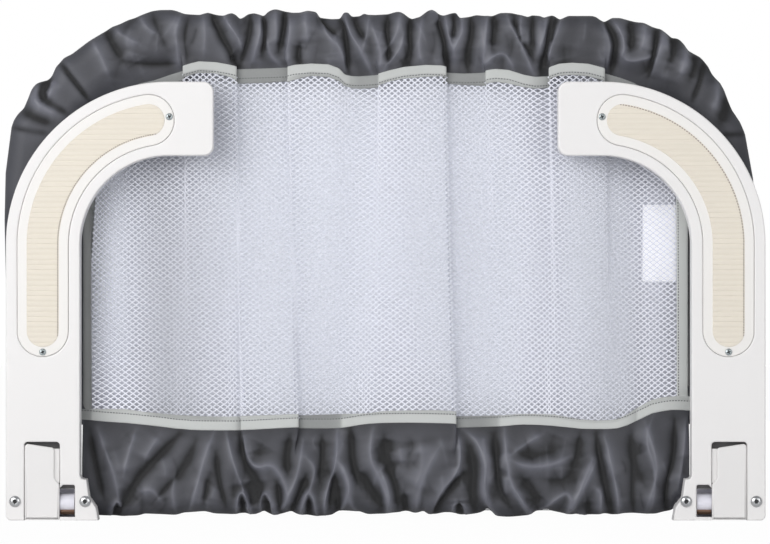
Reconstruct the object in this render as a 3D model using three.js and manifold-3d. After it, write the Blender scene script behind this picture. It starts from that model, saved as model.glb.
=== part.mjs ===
// A folding bed guard rail, packed flat for storage.
// Two telescoping half frames of steel tube stand in moulded hinge feet. A gathered cloth cover with a
// net window is drawn over them, and a J-shaped under-mattress arm is folded up against each end.
// Millimetres. X runs along the rail, Z is up, and the arms lie in front, on the -Y side.
import * as THREE from "three";
import { mergeVertices } from "three/addons/utils/BufferGeometryUtils.js";
import Module from "manifold-3d";

const wasm = await Module();
wasm.setup();

// Clearances
const gap = 0.3;
const overrun = 3;
const slideGap = 0.5;

// Support arm: a J in the XZ plane, with its foot on the floor and its tab towards the middle
const armReach = 380;
const armWidth = 74;
const armThick = 24;
const armClear = 24;
const armBendHeight = 276;
const armBend = 163;
const armTabLength = 44.5;
const tabCorner = 10;
const footCorner = 5;
const armEdgeRound = 1.5;
const shellWall = 2.6;
const shellRib = 2;
const ribPitch = 58;
const ribHeight = 7;

// Foot of the arm: lever slot, window, and the flange that the inner bolt clamps.
// Insets run into the arm from its outer or inner edge, and overhangs run out past its inner edge.
const slotOuterInset = 18.5;
const slotInnerInset = 20;
const slotTop = 78.5;
const slotCorner = 3.5;
const windowInset = 5;
const windowLow = 3.5;
const windowTop = 35.5;
const windowChamfer = 3;
const pocketTop = 84;
const flangeTop = 41;
const flangeShoulderOverhang = 6.4;
const flangeNeckOverhang = 9;
const flangeNeckHeight = 23;
const flangeHipOverhang = 16;
const flangeHipHeight = 13;
const flangeToeOverhang = 18.4;
const boltInnerOverhang = 5.4;
const boltOuterInset = 9.3;
const boltHeight = 19;

// Hinge pivot, knuckle and latch
const pivotHeight = 17;
const pinRadius = 4;
const pinEmbed = 4.2;
const knuckleRadius = 9;
const knuckleSideGap = 0.7;
const backOpeningTop = 31;
const notchWide = 3;
const notchDeep = 2;
const latchThick = 2.5;
const latchTurnDegrees = 45;
const latchTailRun = 10;

// Lever in the slot
const leverTop = 73;
const leverLow = 0.5;
const leverSkin = 2.4;
const leverBody = 8.5;
const leverShoulderLow = 35;
const leverShoulderHigh = 43;
const leverShoulderStep = 5;
const leverTopSlant = 3.5;
const leverBodyLow = 37;
const leverPinHeight = 48;
const leverPinSink = 6;
const leverPinRadius = 1.8;
const leverPinSeat = 3;
const leverHub = 4;
const noseGap = 0.6;
const noseWide = 2.4;
const springHeight = 64;
const springRadius = 3.5;
const springBore = 2.3;

// Grip insert, its bezel and screws
const bandLow = 189.5;
const bandTurnDegrees = 80.8;
const bezelHalf = 25.5;
const padHalf = 16;
const padFlangeHalf = 18.6;
const padFlangeThick = 1;
const padProud = 0.8;
const padRibPitch = 6.2;
const padRibDeep = 1;
const bezelThick = 2.4;
const seatThick = 2.5;
const seatMargin = 2.6;
const screwOffset = 21;
const screwHead = 3.5;
const screwHeadRise = 1.8;
const screwShank = 1.7;
const screwLength = 8;
const screwCross = 3.4;
const screwCrossWide = 0.8;
const screwCrossDeep = 1;
const bossWall = 2;
const bossDepth = 4.5;

// Foot bolts and nuts
const boltShank = 3;
const boltHead = 5.75;
const boltHeadRise = 3;
const socketFlats = 3.4;
const socketDeep = 1.8;
const nutFlats = 10;
const nutThick = 5;
const nutSink = 1.2;

// Steel frame: outer tube on the left, inner tube on the right
const railHeight = 489;
const lowRailHeight = 18;
const frameBend = 128;
const outerTube = 11;
const tubeWall = 1;
const innerTube = outerTube - tubeWall - slideGap;
const mouthInset = 20;
const uprightFoot = 34;
const lowTubeStop = 14;
const collarWall = 1.1;
const collarLong = 12;
const collarLip = 3.7;

// Hinge base
const baseInnerOverhang = 2;
const baseOuterInset = 4;
const baseFront = -14;
const baseBack = 17;
const basePlate = 6;
const baseTop = 84;
const socketWall = 3.2;
const gussetThick = 4;
const gussetRise = 30;

// Cloth cover
const coverBore = 13.2;
const coverRise = 17;
const coverSlackLeft = 33;
const coverSlackRight = 24;
const coverDepth = 16;
const coverEdgeDepth = 5;
const coverBand = 42;
const coverFold = 3.2;
const coverLow = 88;
const skirtTop = 96;
const skirtDrop = 15.5;
const skirtEndDepth = 14.6;
const skirtEndRun = 22;
const skirtLiftLeft = 5;
const skirtLiftRight = 14;
const skirtLiftRun = 60;
const gussetLowDegrees = 11;
const gussetHighDegrees = 38;
const seamGap = 0.7;

// Binding tape, net and label
const tapeWide = 11.5;
const tapeDepth = 6.5;
const foldRise = 5;
const foldForward = 6;
const netThick = 1.2;
const netDepth = 4.6;
const netCellWide = 21;
const netCellHigh = 25;
const netStrand = 4.6;
const netBorder = 6;
const labelWide = 34;
const labelTall = 77;
const labelDrop = 158.5;
const labelThick = 0.8;

// How many sides and steps the round forms take
const tubeSides = 12;
const bendSteps = 8;
const armSteps = 11;
const hollowSteps = 8;
const capSteps = 8;
const smallSteps = 3;
const headSides = 12;
const screwSides = 10;
const coverBoreSides = 12;
const topSteps = 38;
const skirtSteps = 46;
const netSteps = 30;

// Places of the cover's main folds, as shares of half the net window's width
const topRidgeShares = [-0.93, -0.6, -0.24, 0.13, 0.4, 0.65, 0.93];
const topRidgeHeightShares = [0.6, 1, 0.9, 1, 0.35, 1, 0.6];
const lowRidgeShares = [-0.9, -0.66, -0.4, -0.13, 0.05, 0.28, 0.5, 0.72, 0.92];
const lowRidgeHeightShares = [0.6, 0.5, 1, 0.3, 1, 0.8, 0.5, 1, 0.7];
const ridgeWidthShare = 0.085;
// Half section of the cover: share of the outward or inward reach, then share of the depth
const sectionOutShares = [[1, 0], [0.75, 0.72], [0, 1]];
const sectionInShares = [[0.45, 0.5], [0.8, 0.12], [1, 0]];

const rightAngle = Math.PI / 2;
const degree = Math.PI / 180;
const armBack = -armClear;
const armFront = armBack - armThick;
const armParting = armFront + armThick / 2;
const armInnerEdge = armReach - armWidth;
const armCentre = armReach - armWidth / 2;
const slotOuter = armReach - slotOuterInset;
const slotInner = armInnerEdge + slotInnerInset;
const windowInner = armInnerEdge + windowInset;
const boltInner = armInnerEdge - boltInnerOverhang;
const boltOuter = armReach - boltOuterInset;
const pivotDepth = armParting;
const latchTail = pivotDepth + latchTailRun;
const leverPinDepth = armFront + leverPinSink;
const uprightReach = armCentre;
const baseInner = armInnerEdge - baseInnerOverhang;
const baseOuter = armReach - baseOuterInset;
const lowTubeEnd = uprightReach - lowTubeStop;
const armBendX = armReach - armBend;
const armInnerBend = armBend - armWidth;
const armTop = armBendHeight + armBend;
const armTabEnd = armBendX - armTabLength;
const frameBendX = uprightReach - frameBend;
const frameBendHeight = railHeight - frameBend;
const mouthReach = frameBendX - mouthInset;
const bandRadius = armBend - armWidth / 2;
const windowHalf = uprightReach - coverBand - tapeWide;
const netTop = railHeight - coverBand - tapeWide;
const netLow = skirtTop + tapeWide;
const labelHeight = netTop - labelDrop;
const skirtEnd = uprightReach - coverBand - seamGap;

// Materials
function paint(colour, roughness, metalness) {
  return new THREE.MeshStandardMaterial({ color: colour, roughness, metalness });
}
const whitePlastic = paint(0xefecea, 0.42, 0);
const hingePlastic = paint(0xe4e2ee, 0.5, 0);
const padRubber = paint(0xe6ddca, 0.8, 0);
const brightSteel = paint(0xb9bcc0, 0.3, 1);
const latchSteel = paint(0x8a6a52, 0.5, 0.8);
const paintedTube = paint(0xdfe0e2, 0.45, 0.3);
const satinCloth = paint(0x55565c, 0.5, 0);
const tapeCloth = paint(0xc8cbc8, 0.85, 0);
const netCloth = paint(0xe9eaf4, 0.8, 0);
const labelCloth = paint(0xf6f6fa, 0.9, 0);

// Closed solids and geometries
function solidOf(geometry) {
  const bare = new THREE.BufferGeometry();
  bare.setAttribute("position", geometry.getAttribute("position"));
  bare.setIndex(geometry.index);
  const merged = mergeVertices(bare, armEdgeRound * 1e-4);
  const corners = Array.from(merged.index.array);
  const kept = [];
  for (let i = 0; i < corners.length; i += 3) {
    const [a, b, c] = corners.slice(i, i + 3);
    if (a !== b && b !== c && c !== a) kept.push(a, b, c);
  }
  const solid = new wasm.Manifold(
    new wasm.Mesh({
      numProp: 3,
      vertProperties: merged.getAttribute("position").array,
      triVerts: new Uint32Array(kept),
    }),
  );
  if (solid.volume() > 0) return solid;
  const flipped = kept.map((v, i) => kept[i - (i % 3) + 2 - (i % 3)]);
  return new wasm.Manifold(
    new wasm.Mesh({
      numProp: 3,
      vertProperties: merged.getAttribute("position").array,
      triVerts: new Uint32Array(flipped),
    }),
  );
}

function geometryOf(solid) {
  const mesh = solid.getMesh();
  const stride = mesh.numProp;
  const places = new Float32Array(mesh.numVert * 3);
  for (let i = 0; i < mesh.numVert; i++) {
    places.set(mesh.vertProperties.subarray(i * stride, i * stride + 3), i * 3);
  }
  const geometry = new THREE.BufferGeometry();
  geometry.setAttribute("position", new THREE.BufferAttribute(places, 3));
  geometry.setIndex(new THREE.BufferAttribute(new Uint32Array(mesh.triVerts), 1));
  return geometry;
}

function joined(solids) {
  return solids.reduce((whole, next) => whole.add(next));
}

function cutBy(solid, cutters) {
  return cutters.reduce((rest, next) => rest.subtract(next), solid);
}

// Points of an arc from one angle to another, both in radians
function arc(x, z, radius, from, to, steps) {
  const points = [];
  for (let i = 0; i <= steps; i++) {
    const angle = from + ((to - from) * i) / steps;
    points.push(new THREE.Vector2(x + radius * Math.cos(angle), z + radius * Math.sin(angle)));
  }
  return points;
}

// Rectangle outline
function frameOf(a0, a1, b0, b1) {
  return [
    new THREE.Vector2(a0, b0),
    new THREE.Vector2(a1, b0),
    new THREE.Vector2(a1, b1),
    new THREE.Vector2(a0, b1),
  ];
}

function withoutRepeats(points) {
  return points.filter((p, i) => p.distanceTo(points[(i + 1) % points.length]) > armEdgeRound * 1e-3);
}

function extruded(points, depth, round) {
  return new THREE.ExtrudeGeometry(new THREE.Shape(withoutRepeats(points)), {
    depth: depth - 2 * round,
    bevelEnabled: round > 0,
    bevelThickness: round,
    bevelSize: round,
    bevelOffset: -round,
    bevelSegments: 1,
  }).translate(0, 0, round);
}

// Outline in XZ, pushed from the plane y = back to the plane y = front
function slab(points, front, back, round = 0) {
  const turn = new THREE.Matrix4().makeBasis(
    new THREE.Vector3(1, 0, 0),
    new THREE.Vector3(0, 0, 1),
    new THREE.Vector3(0, -1, 0),
  );
  return solidOf(extruded(points, back - front, round).applyMatrix4(turn).translate(0, back, 0));
}

// Outline in YZ, pushed from x = from to x = to
function bar(points, from, to, round = 0) {
  const turn = new THREE.Matrix4().makeBasis(
    new THREE.Vector3(0, 1, 0),
    new THREE.Vector3(0, 0, 1),
    new THREE.Vector3(1, 0, 0),
  );
  return solidOf(extruded(points, to - from, round).applyMatrix4(turn).translate(from, 0, 0));
}

function block(x0, x1, y0, y1, z0, z1) {
  return slab(frameOf(x0, x1, z0, z1), y0, y1);
}

// Round bars along each axis
function rodX(radius, from, to, y, z, sides = tubeSides) {
  const rod = new THREE.CylinderGeometry(radius, radius, to - from, sides).rotateZ(rightAngle);
  return solidOf(rod.translate((from + to) / 2, y, z));
}

function rodY(radius, from, to, x, z, sides = tubeSides) {
  const rod = new THREE.CylinderGeometry(radius, radius, to - from, sides);
  return solidOf(rod.translate(x, (from + to) / 2, z));
}

function rodZ(radius, from, to, x, y, sides = tubeSides) {
  const rod = new THREE.CylinderGeometry(radius, radius, to - from, sides).rotateX(rightAngle);
  return solidOf(rod.translate(x, y, (from + to) / 2));
}

// Hexagonal bar along Y, across flats
function hexY(flats, from, to, x, z) {
  return rodY(flats / Math.sqrt(3), from, to, x, z, 6);
}

// Profile of [radius, height] pairs turned about the Y axis
function turned(profile, sides = headSides) {
  const points = profile.map(([radius, height]) => new THREE.Vector2(radius, height));
  return solidOf(new THREE.LatheGeometry(points, sides));
}

// Closed skin over a row of rings with the same number of points, capped at both ends
function loft(rings) {
  const count = rings[0].length;
  const places = rings.flat().flatMap((p) => [p.x, p.y, p.z]);
  const index = [];
  for (let r = 0; r + 1 < rings.length; r++) {
    for (let i = 0; i < count; i++) {
      const a = r * count + i;
      const b = r * count + ((i + 1) % count);
      index.push(a, b, b + count, a, b + count, a + count);
    }
  }
  const last = (rings.length - 1) * count;
  const flat = rings.map((ring) => ring.map((p) => new THREE.Vector2(p.u, p.v)));
  for (const [a, b, c] of THREE.ShapeUtils.triangulateShape(flat[0], [])) index.push(a, c, b);
  for (const [a, b, c] of THREE.ShapeUtils.triangulateShape(flat[rings.length - 1], [])) {
    index.push(last + a, last + b, last + c);
  }
  const geometry = new THREE.BufferGeometry();
  geometry.setAttribute("position", new THREE.Float32BufferAttribute(places, 3));
  geometry.setIndex(index);
  return solidOf(geometry);
}

// A station of the frame's path: a place in XZ and the outward normal there
function station(x, z, angle) {
  return { x, z, nx: Math.cos(angle), nz: Math.sin(angle) };
}

// Section of (outward, y) pairs set square to the path at a station
function ringAt(place, section) {
  return section.map(([u, v]) => {
    const point = new THREE.Vector3(place.x + place.nx * u, v, place.z + place.nz * u);
    point.u = u;
    point.v = v;
    return point;
  });
}

function circle(radius, sides = tubeSides) {
  const pairs = [];
  for (let i = 0; i < sides; i++) {
    const angle = (2 * Math.PI * i) / sides;
    pairs.push([radius * Math.cos(angle), radius * Math.sin(angle)]);
  }
  return pairs;
}

// The stations with one more at each end, a little further along the path
function pastEnds(stations) {
  const first = stations[0];
  const last = stations.at(-1);
  return [
    { ...first, x: first.x + first.nz * overrun, z: first.z - first.nx * overrun },
    ...stations,
    { ...last, x: last.x - last.nz * overrun, z: last.z + last.nx * overrun },
  ];
}

// Stations round the bend of the frame, between two angles in degrees
function bendStations(from, to, steps) {
  return arc(frameBendX, frameBendHeight, frameBend, from * degree, to * degree, steps).map((p, i) =>
    station(p.x, p.y, (from + ((to - from) * i) / steps) * degree),
  );
}

// Support arm

function armOutline() {
  const tabX = armTabEnd + tabCorner;
  const tabLow = armTop - armWidth + tabCorner;
  return [
    new THREE.Vector2(armInnerEdge - flangeToeOverhang, 0),
    ...arc(armReach - footCorner, footCorner, footCorner, -rightAngle, 0, smallSteps),
    ...arc(armBendX, armBendHeight, armBend, 0, rightAngle, armSteps),
    ...arc(tabX, armTop - tabCorner, tabCorner, rightAngle, Math.PI, smallSteps),
    ...arc(tabX, tabLow, tabCorner, Math.PI, 3 * rightAngle, smallSteps),
    ...arc(armBendX, armBendHeight, armInnerBend, rightAngle, 0, armSteps),
    new THREE.Vector2(armInnerEdge, flangeTop),
    new THREE.Vector2(armInnerEdge - flangeShoulderOverhang, flangeTop),
    new THREE.Vector2(armInnerEdge - flangeNeckOverhang, flangeNeckHeight),
    new THREE.Vector2(armInnerEdge - flangeHipOverhang, flangeHipHeight),
  ];
}

// Outline of the hollow inside the arm, one wall in from the J
function hollowOutline(inset) {
  const corner = tabCorner - inset;
  const low = armTop - armWidth + inset;
  return [
    new THREE.Vector2(armInnerEdge + inset, pocketTop),
    new THREE.Vector2(armReach - inset, pocketTop),
    ...arc(armBendX, armBendHeight, armBend - inset - gap, 0, rightAngle, hollowSteps),
    ...arc(armTabEnd + tabCorner, armTop - tabCorner, corner, rightAngle, 2 * rightAngle, 2),
    ...arc(armTabEnd + tabCorner, low + corner, corner, Math.PI, 3 * rightAngle, 2),
    ...arc(armBendX, armBendHeight, armInnerBend + inset + gap, rightAngle, 0, hollowSteps),
  ];
}

// Outline of a band along the arm's centre line, from the low end round the bend
function bandOutline(half) {
  const turn = bandTurnDegrees * degree;
  const endX = armBendX + bandRadius * Math.cos(turn);
  const endZ = armBendHeight + bandRadius * Math.sin(turn);
  return [
    ...arc(armCentre, bandLow, half, Math.PI, 2 * Math.PI, capSteps),
    ...arc(armBendX, armBendHeight, bandRadius + half, 0, turn, armSteps),
    ...arc(endX, endZ, half, turn, turn + Math.PI, capSteps),
    ...arc(armBendX, armBendHeight, bandRadius - half, turn, 0, armSteps),
  ];
}

// The two places of the bezel's screws, beyond the ends of the band
function screwPlaces() {
  const turn = bandTurnDegrees * degree;
  const endX = armBendX + bandRadius * Math.cos(turn);
  const endZ = armBendHeight + bandRadius * Math.sin(turn);
  return [
    [armCentre, bandLow - screwOffset],
    [endX - screwOffset * Math.sin(turn), endZ + screwOffset * Math.cos(turn)],
  ];
}

// The slot for the lever and the window beside it
function slotOutline() {
  return [
    new THREE.Vector2(slotInner, -overrun),
    new THREE.Vector2(slotOuter, -overrun),
    ...arc(slotOuter - slotCorner, slotTop - slotCorner, slotCorner, 0, rightAngle, smallSteps),
    ...arc(slotInner + slotCorner, slotTop - slotCorner, slotCorner, rightAngle, Math.PI, smallSteps),
  ];
}

function windowOutline() {
  return [
    new THREE.Vector2(windowInner, windowLow),
    new THREE.Vector2(slotInner + gap, windowLow),
    new THREE.Vector2(slotInner + gap, windowTop - windowChamfer),
    new THREE.Vector2(slotInner - windowChamfer, windowTop),
    new THREE.Vector2(windowInner, windowTop),
  ];
}

// Half of the blank on one side of the parting plane
function armHalf(front, back) {
  const blank = slab(armOutline(), armFront, armBack, armEdgeRound);
  return blank.intersect(block(0, armReach + overrun, front, back, -overrun, armTop + overrun));
}

// Holes for the foot bolts, the hinge pin and the lever's pin
function footHoles() {
  const pinFrom = windowInner - pinEmbed - gap;
  const pinTo = slotOuter + pinEmbed + gap;
  return [
    rodY(boltShank + gap, armFront - overrun, armBack + overrun, boltInner, boltHeight),
    rodY(boltShank + gap, armFront - overrun, armBack + overrun, boltOuter, boltHeight),
    rodX(pinRadius + gap, pinFrom, pinTo, pivotDepth, pivotHeight),
    rodX(
      leverPinRadius + gap,
      slotInner - leverPinSeat - gap,
      slotOuter + leverPinSeat + gap,
      leverPinDepth,
      leverPinHeight,
    ),
  ];
}

function armFrontShell() {
  const surface = armHalf(armFront, armParting - gap / 2);
  const floorBack = armFront + bezelThick + padFlangeThick + 3 * gap;
  const hollow = slab(hollowOutline(shellWall), armFront + shellWall, armParting + overrun);
  const seat = slab(bandOutline(bezelHalf + seatMargin), armFront, floorBack + seatThick);
  const recess = slab(bandOutline(bezelHalf + gap), armFront - overrun, floorBack);
  const bosses = screwPlaces().map(([x, z]) =>
    rodY(screwShank + bossWall + gap, floorBack, floorBack + seatThick + bossDepth, x, z, screwSides),
  );
  const drills = screwPlaces().map(([x, z]) =>
    rodY(screwShank + gap, armFront, floorBack + seatThick + bossDepth - bossWall, x, z, screwSides),
  );
  const shell = joined([surface.subtract(hollow), seat.intersect(surface), ...bosses]);
  return cutBy(shell, [
    recess,
    ...drills,
    slab(slotOutline(), armFront - overrun, armBack),
    slab(windowOutline(), armFront - overrun, armFront + shellWall + gap),
    block(windowInner, slotOuter, armFront + shellWall, armBack, -overrun, windowTop),
    ...footHoles(),
  ]);
}

function armBackShell() {
  const surface = armHalf(armParting + gap / 2, armBack);
  const hollow = slab(hollowOutline(shellWall), armParting - overrun, armBack - shellWall);
  const ribs = [];
  const floor = armBack - shellWall;
  for (let z = pocketTop + ribPitch; z < armBendHeight; z += ribPitch) {
    ribs.push(block(armInnerEdge, armReach, floor - ribHeight, floor + gap, z, z + shellRib));
  }
  const spokeLong = armWidth - shellWall;
  for (let i = 1; i < 4; i++) {
    const spoke = new THREE.BoxGeometry(spokeLong, ribHeight + gap, shellRib)
      .translate(armInnerBend + armWidth / 2, floor - ribHeight / 2 + gap / 2, 0)
      .rotateY((-i * rightAngle) / 4)
      .translate(armBendX, 0, armBendHeight);
    ribs.push(solidOf(spoke));
  }
  const nuts = [boltInner, boltOuter].map((x) =>
    hexY(nutFlats + 2 * gap, armBack - nutThick - nutSink - gap, armBack + overrun, x, boltHeight),
  );
  const ribbed = joined([surface.subtract(hollow), ...ribs]);
  return cutBy(ribbed, [
    ...nuts,
    block(windowInner, slotOuter, armParting - overrun, armBack + overrun, -overrun, backOpeningTop),
    block(
      slotInner,
      slotOuter,
      armParting - overrun,
      armBack - shellWall,
      backOpeningTop - overrun,
      slotTop,
    ),
    ...footHoles(),
  ]);
}

function bezel() {
  const back = armFront + bezelThick;
  const holes = screwPlaces().map(([x, z]) =>
    rodY(screwShank + gap, armFront - overrun, back + overrun, x, z, screwSides),
  );
  const opening = slab(bandOutline(padHalf + gap), armFront - overrun, back + overrun);
  return cutBy(slab(bandOutline(bezelHalf), armFront, back), [opening, ...holes]);
}

// Ridges across the pad, as a toothed outline in YZ
function ribComb() {
  const crest = armFront - padProud;
  const low = bandLow - bezelHalf;
  const teeth = [];
  for (let z = low; z < armTop; z += padRibPitch) {
    teeth.push(new THREE.Vector2(crest + padRibDeep, z));
    teeth.push(new THREE.Vector2(crest, z + padRibPitch / 3));
    teeth.push(new THREE.Vector2(crest, z + padRibPitch / 1.5));
  }
  const high = teeth.at(-1).y + padRibPitch / 3;
  return [
    ...teeth,
    new THREE.Vector2(crest + padRibDeep, high),
    new THREE.Vector2(armParting, high),
    new THREE.Vector2(armParting, low),
  ];
}

function gripPad() {
  const back = armFront + bezelThick + gap + padFlangeThick;
  const comb = bar(ribComb(), armTabEnd, armReach);
  const body = slab(bandOutline(padHalf), armFront - padProud - overrun, back);
  const flange = slab(bandOutline(padFlangeHalf), back - padFlangeThick, back);
  return body.intersect(comb).add(flange);
}

// Pan-head screw with a cross recess, pointing along +Y from the underside of its head
function bezelScrew() {
  const profile = [
    [0, -screwHeadRise],
    [screwHead * 0.55, -screwHeadRise * 0.9],
    [screwHead * 0.9, -screwHeadRise * 0.5],
    [screwHead, 0],
    [screwShank, 0],
    [screwShank, screwLength - screwShank],
    [0, screwLength],
  ];
  const deep = [-screwHeadRise - overrun, -screwHeadRise + screwCrossDeep];
  const half = screwCross / 2;
  const thin = screwCrossWide / 2;
  const slots = [
    block(-half, half, ...deep, -thin, thin),
    block(-thin, thin, ...deep, -half, half),
  ];
  return cutBy(turned(profile, screwSides), slots);
}

// Button-head bolt with a hexagonal socket, pointing along +Y from the underside of its head
function footBolt() {
  const reach = armThick - nutSink - gap;
  const profile = [
    [0, -boltHeadRise],
    [boltHead * 0.5, -boltHeadRise * 0.93],
    [boltHead * 0.82, -boltHeadRise * 0.62],
    [boltHead, -boltHeadRise * 0.12],
    [boltHead, -gap],
    [boltShank, -gap],
    [boltShank, reach],
    [0, reach],
  ];
  const socket = hexY(socketFlats, -boltHeadRise - overrun, -boltHeadRise + socketDeep, 0, 0);
  return turned(profile).subtract(socket);
}

function footNut() {
  const hole = rodY(boltShank + gap, -overrun, nutThick + overrun, 0, 0);
  return hexY(nutFlats, 0, nutThick, 0, 0).subtract(hole);
}

// Lever: a curved thumb plate on a cross pin, with a skirt over the knuckle and a nose that locks it
function leverFace() {
  const inner = slotInner + gap;
  const outer = slotOuter - gap;
  const step = inner + leverShoulderStep;
  const middle = (leverShoulderLow + leverShoulderHigh) / 2;
  return [
    new THREE.Vector2(inner, leverLow),
    new THREE.Vector2(outer, leverLow),
    ...arc(outer - slotCorner, leverTop - slotCorner + leverTopSlant, slotCorner, 0, rightAngle, smallSteps),
    ...arc(step + slotCorner, leverTop - slotCorner, slotCorner, rightAngle, Math.PI, smallSteps),
    new THREE.Vector2(step, leverShoulderHigh),
    new THREE.Vector2(step - leverShoulderStep / 4, middle + leverShoulderStep / 4),
    new THREE.Vector2(inner + leverShoulderStep / 4, middle - leverShoulderStep / 4),
    new THREE.Vector2(inner, leverShoulderLow),
  ];
}

function leverProfile() {
  const front = armFront;
  const skirtBack = front + leverSkin;
  const bodyBack = front + leverBody;
  const crown = leverTop + leverTopSlant;
  return [
    new THREE.Vector2(front, leverLow),
    new THREE.Vector2(skirtBack, leverLow),
    new THREE.Vector2(skirtBack, leverBodyLow),
    new THREE.Vector2(bodyBack, leverBodyLow + leverSkin),
    new THREE.Vector2(bodyBack, crown - leverSkin),
    new THREE.Vector2(bodyBack - leverSkin, crown),
    new THREE.Vector2(front + leverSkin, crown),
    new THREE.Vector2(front, crown - leverSkin * 2),
  ];
}

function leverSolid() {
  const inner = slotInner + leverShoulderStep + 2 * gap;
  const outer = slotOuter - gap;
  const noseInner = inner + noseWide;
  const noseOuter = outer - noseWide;
  const noseLow = pivotHeight + knuckleRadius + noseGap;
  const nose = [
    new THREE.Vector2(pivotDepth - noseWide, noseLow),
    new THREE.Vector2(pivotDepth, noseLow),
    new THREE.Vector2(leverPinDepth + leverHub, leverPinHeight),
    new THREE.Vector2(leverPinDepth, leverPinHeight + leverHub),
    new THREE.Vector2(leverPinDepth - leverHub / 2, leverBodyLow + leverSkin),
  ];
  const face = bar(leverProfile(), slotInner, slotOuter).intersect(
    slab(leverFace(), armFront - overrun, armBack),
  );
  const hub = rodX(leverHub, inner, outer, leverPinDepth, leverPinHeight);
  const bore = rodX(
    leverPinRadius + gap,
    slotInner - overrun,
    slotOuter + overrun,
    leverPinDepth,
    leverPinHeight,
  );
  return cutBy(joined([face, hub, bar(nose, noseInner, noseOuter)]), [bore]);
}

function leverPin() {
  return rodX(
    leverPinRadius,
    slotInner - leverPinSeat,
    slotOuter + leverPinSeat,
    leverPinDepth,
    leverPinHeight,
    headSides,
  );
}

// Return spring between the lever's back and the back shell, as the sleeve that its coils fill
function leverSpring() {
  const from = armFront + leverBody + gap;
  const to = armBack - shellWall - gap;
  const x = (slotInner + leverShoulderStep + slotOuter) / 2;
  return rodY(springRadius, from, to, x, springHeight).subtract(
    rodY(springBore, from - overrun, to + overrun, x, springHeight),
  );
}

// Hinge base: tube sockets on a foot plate, with a knuckle that reaches forward between the arm's ears

function knuckleProfile() {
  const top = pivotHeight + knuckleRadius;
  const low = pivotHeight - knuckleRadius;
  return [
    new THREE.Vector2(baseFront + overrun, low),
    new THREE.Vector2(baseFront + overrun, top),
    ...arc(pivotDepth, pivotHeight, knuckleRadius, rightAngle, 3 * rightAngle, 2 * capSteps),
  ];
}

function latchNotches() {
  const x0 = slotInner + gap;
  const x1 = slotOuter + overrun;
  const top = pivotHeight + knuckleRadius;
  const front = pivotDepth - knuckleRadius;
  return [
    block(x0, x1, pivotDepth - notchWide, pivotDepth + gap, top - notchDeep, top + overrun),
    block(x0, x1, front - overrun, front + notchDeep, pivotHeight - notchWide, pivotHeight + gap),
  ];
}

function hingeBase(tube) {
  const inner = windowInner + knuckleSideGap;
  const outer = slotOuter - knuckleSideGap;
  const plate = slab(frameOf(baseInner, baseOuter, 0, basePlate), baseFront, baseBack);
  const column = rodZ(outerTube + socketWall, 0, baseTop, uprightReach, 0, headSides);
  const sleeve = rodX(outerTube + socketWall, baseInner, uprightReach, 0, lowRailHeight, headSides);
  const front = block(baseInner, baseOuter, baseFront, overrun, 0, lowRailHeight + outerTube + basePlate);
  const gussets = [-1, 1].map((side) => {
    const reach = side < 0 ? baseInner : baseOuter;
    const outline = [
      new THREE.Vector2(uprightReach, basePlate - gap),
      new THREE.Vector2(reach, basePlate - gap),
      new THREE.Vector2(reach, lowRailHeight),
      new THREE.Vector2(uprightReach, baseTop - gussetRise),
    ];
    return slab(side < 0 ? outline.reverse() : outline, 0, gussetThick + overrun);
  });
  const body = joined([plate, column, sleeve, front, ...gussets, bar(knuckleProfile(), inner, outer)]);
  return cutBy(body, [
    rodZ(tube + gap, uprightFoot - gap, baseTop + overrun, uprightReach, 0),
    rodX(tube + gap, baseInner - overrun, lowTubeEnd + gap, 0, lowRailHeight),
    rodX(pinRadius + gap, inner - overrun, outer + overrun, pivotDepth, pivotHeight),
    ...latchNotches(),
  ]);
}

// Steel strip under the knuckle, in view through the window
function latchPlate() {
  const near = knuckleRadius + gap;
  const far = near + latchThick;
  const rise = latchTurnDegrees * degree;
  const outline = [
    new THREE.Vector2(latchTail, pivotHeight - far),
    new THREE.Vector2(latchTail, pivotHeight - near),
    ...arc(pivotDepth, pivotHeight, near, -rightAngle, -rightAngle - rise, smallSteps),
    ...arc(pivotDepth, pivotHeight, far, -rightAngle - rise, -rightAngle, smallSteps),
  ];
  return bar(outline, windowInner + knuckleSideGap, slotInner - gap);
}

function hingePin() {
  return rodX(pinRadius, windowInner - pinEmbed, slotOuter + pinEmbed, pivotDepth, pivotHeight, headSides);
}

// Frame tubes. Each half's tubes end the same way past the middle, so one outline serves both.
function tubeAlong(stations, radius) {
  const wall = loft(stations.map((place) => ringAt(place, circle(radius))));
  const bore = pastEnds(stations).map((place) => ringAt(place, circle(radius - tubeWall)));
  return wall.subtract(loft(bore));
}

function upperTube(radius) {
  return tubeAlong(
    [
      station(uprightReach, uprightFoot, 0),
      ...bendStations(0, 90, bendSteps),
      station(-mouthReach, railHeight, rightAngle),
    ],
    radius,
  );
}

function lowerTube(radius) {
  return tubeAlong(
    [
      station(-mouthReach, lowRailHeight, -rightAngle),
      station(lowTubeEnd, lowRailHeight, -rightAngle),
    ],
    radius,
  );
}

// Collar on the mouth of an outer tube, with a lip that guides the inner tube
function slideCollar() {
  const outer = outerTube + gap + collarWall;
  const profile = [
    [outerTube + gap, -collarLong],
    [outer, -collarLong],
    [outer, collarLip],
    [innerTube + gap, collarLip],
    [innerTube + gap, gap],
    [outerTube + gap, gap],
    [outerTube + gap, -collarLong],
  ];
  return turned(profile);
}

// Cloth cover

// Height of the main folds at x: smooth bumps at the given shares of half the window's width
function ridges(x, places, heights) {
  const width = ridgeWidthShare * windowHalf;
  return places.reduce((sum, place, i) => {
    const away = (x - place * windowHalf) / width;
    return sum + heights[i] * Math.exp(-away * away);
  }, 0);
}

function topRidge(x) {
  return ridges(x, topRidgeShares, topRidgeHeightShares);
}

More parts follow.
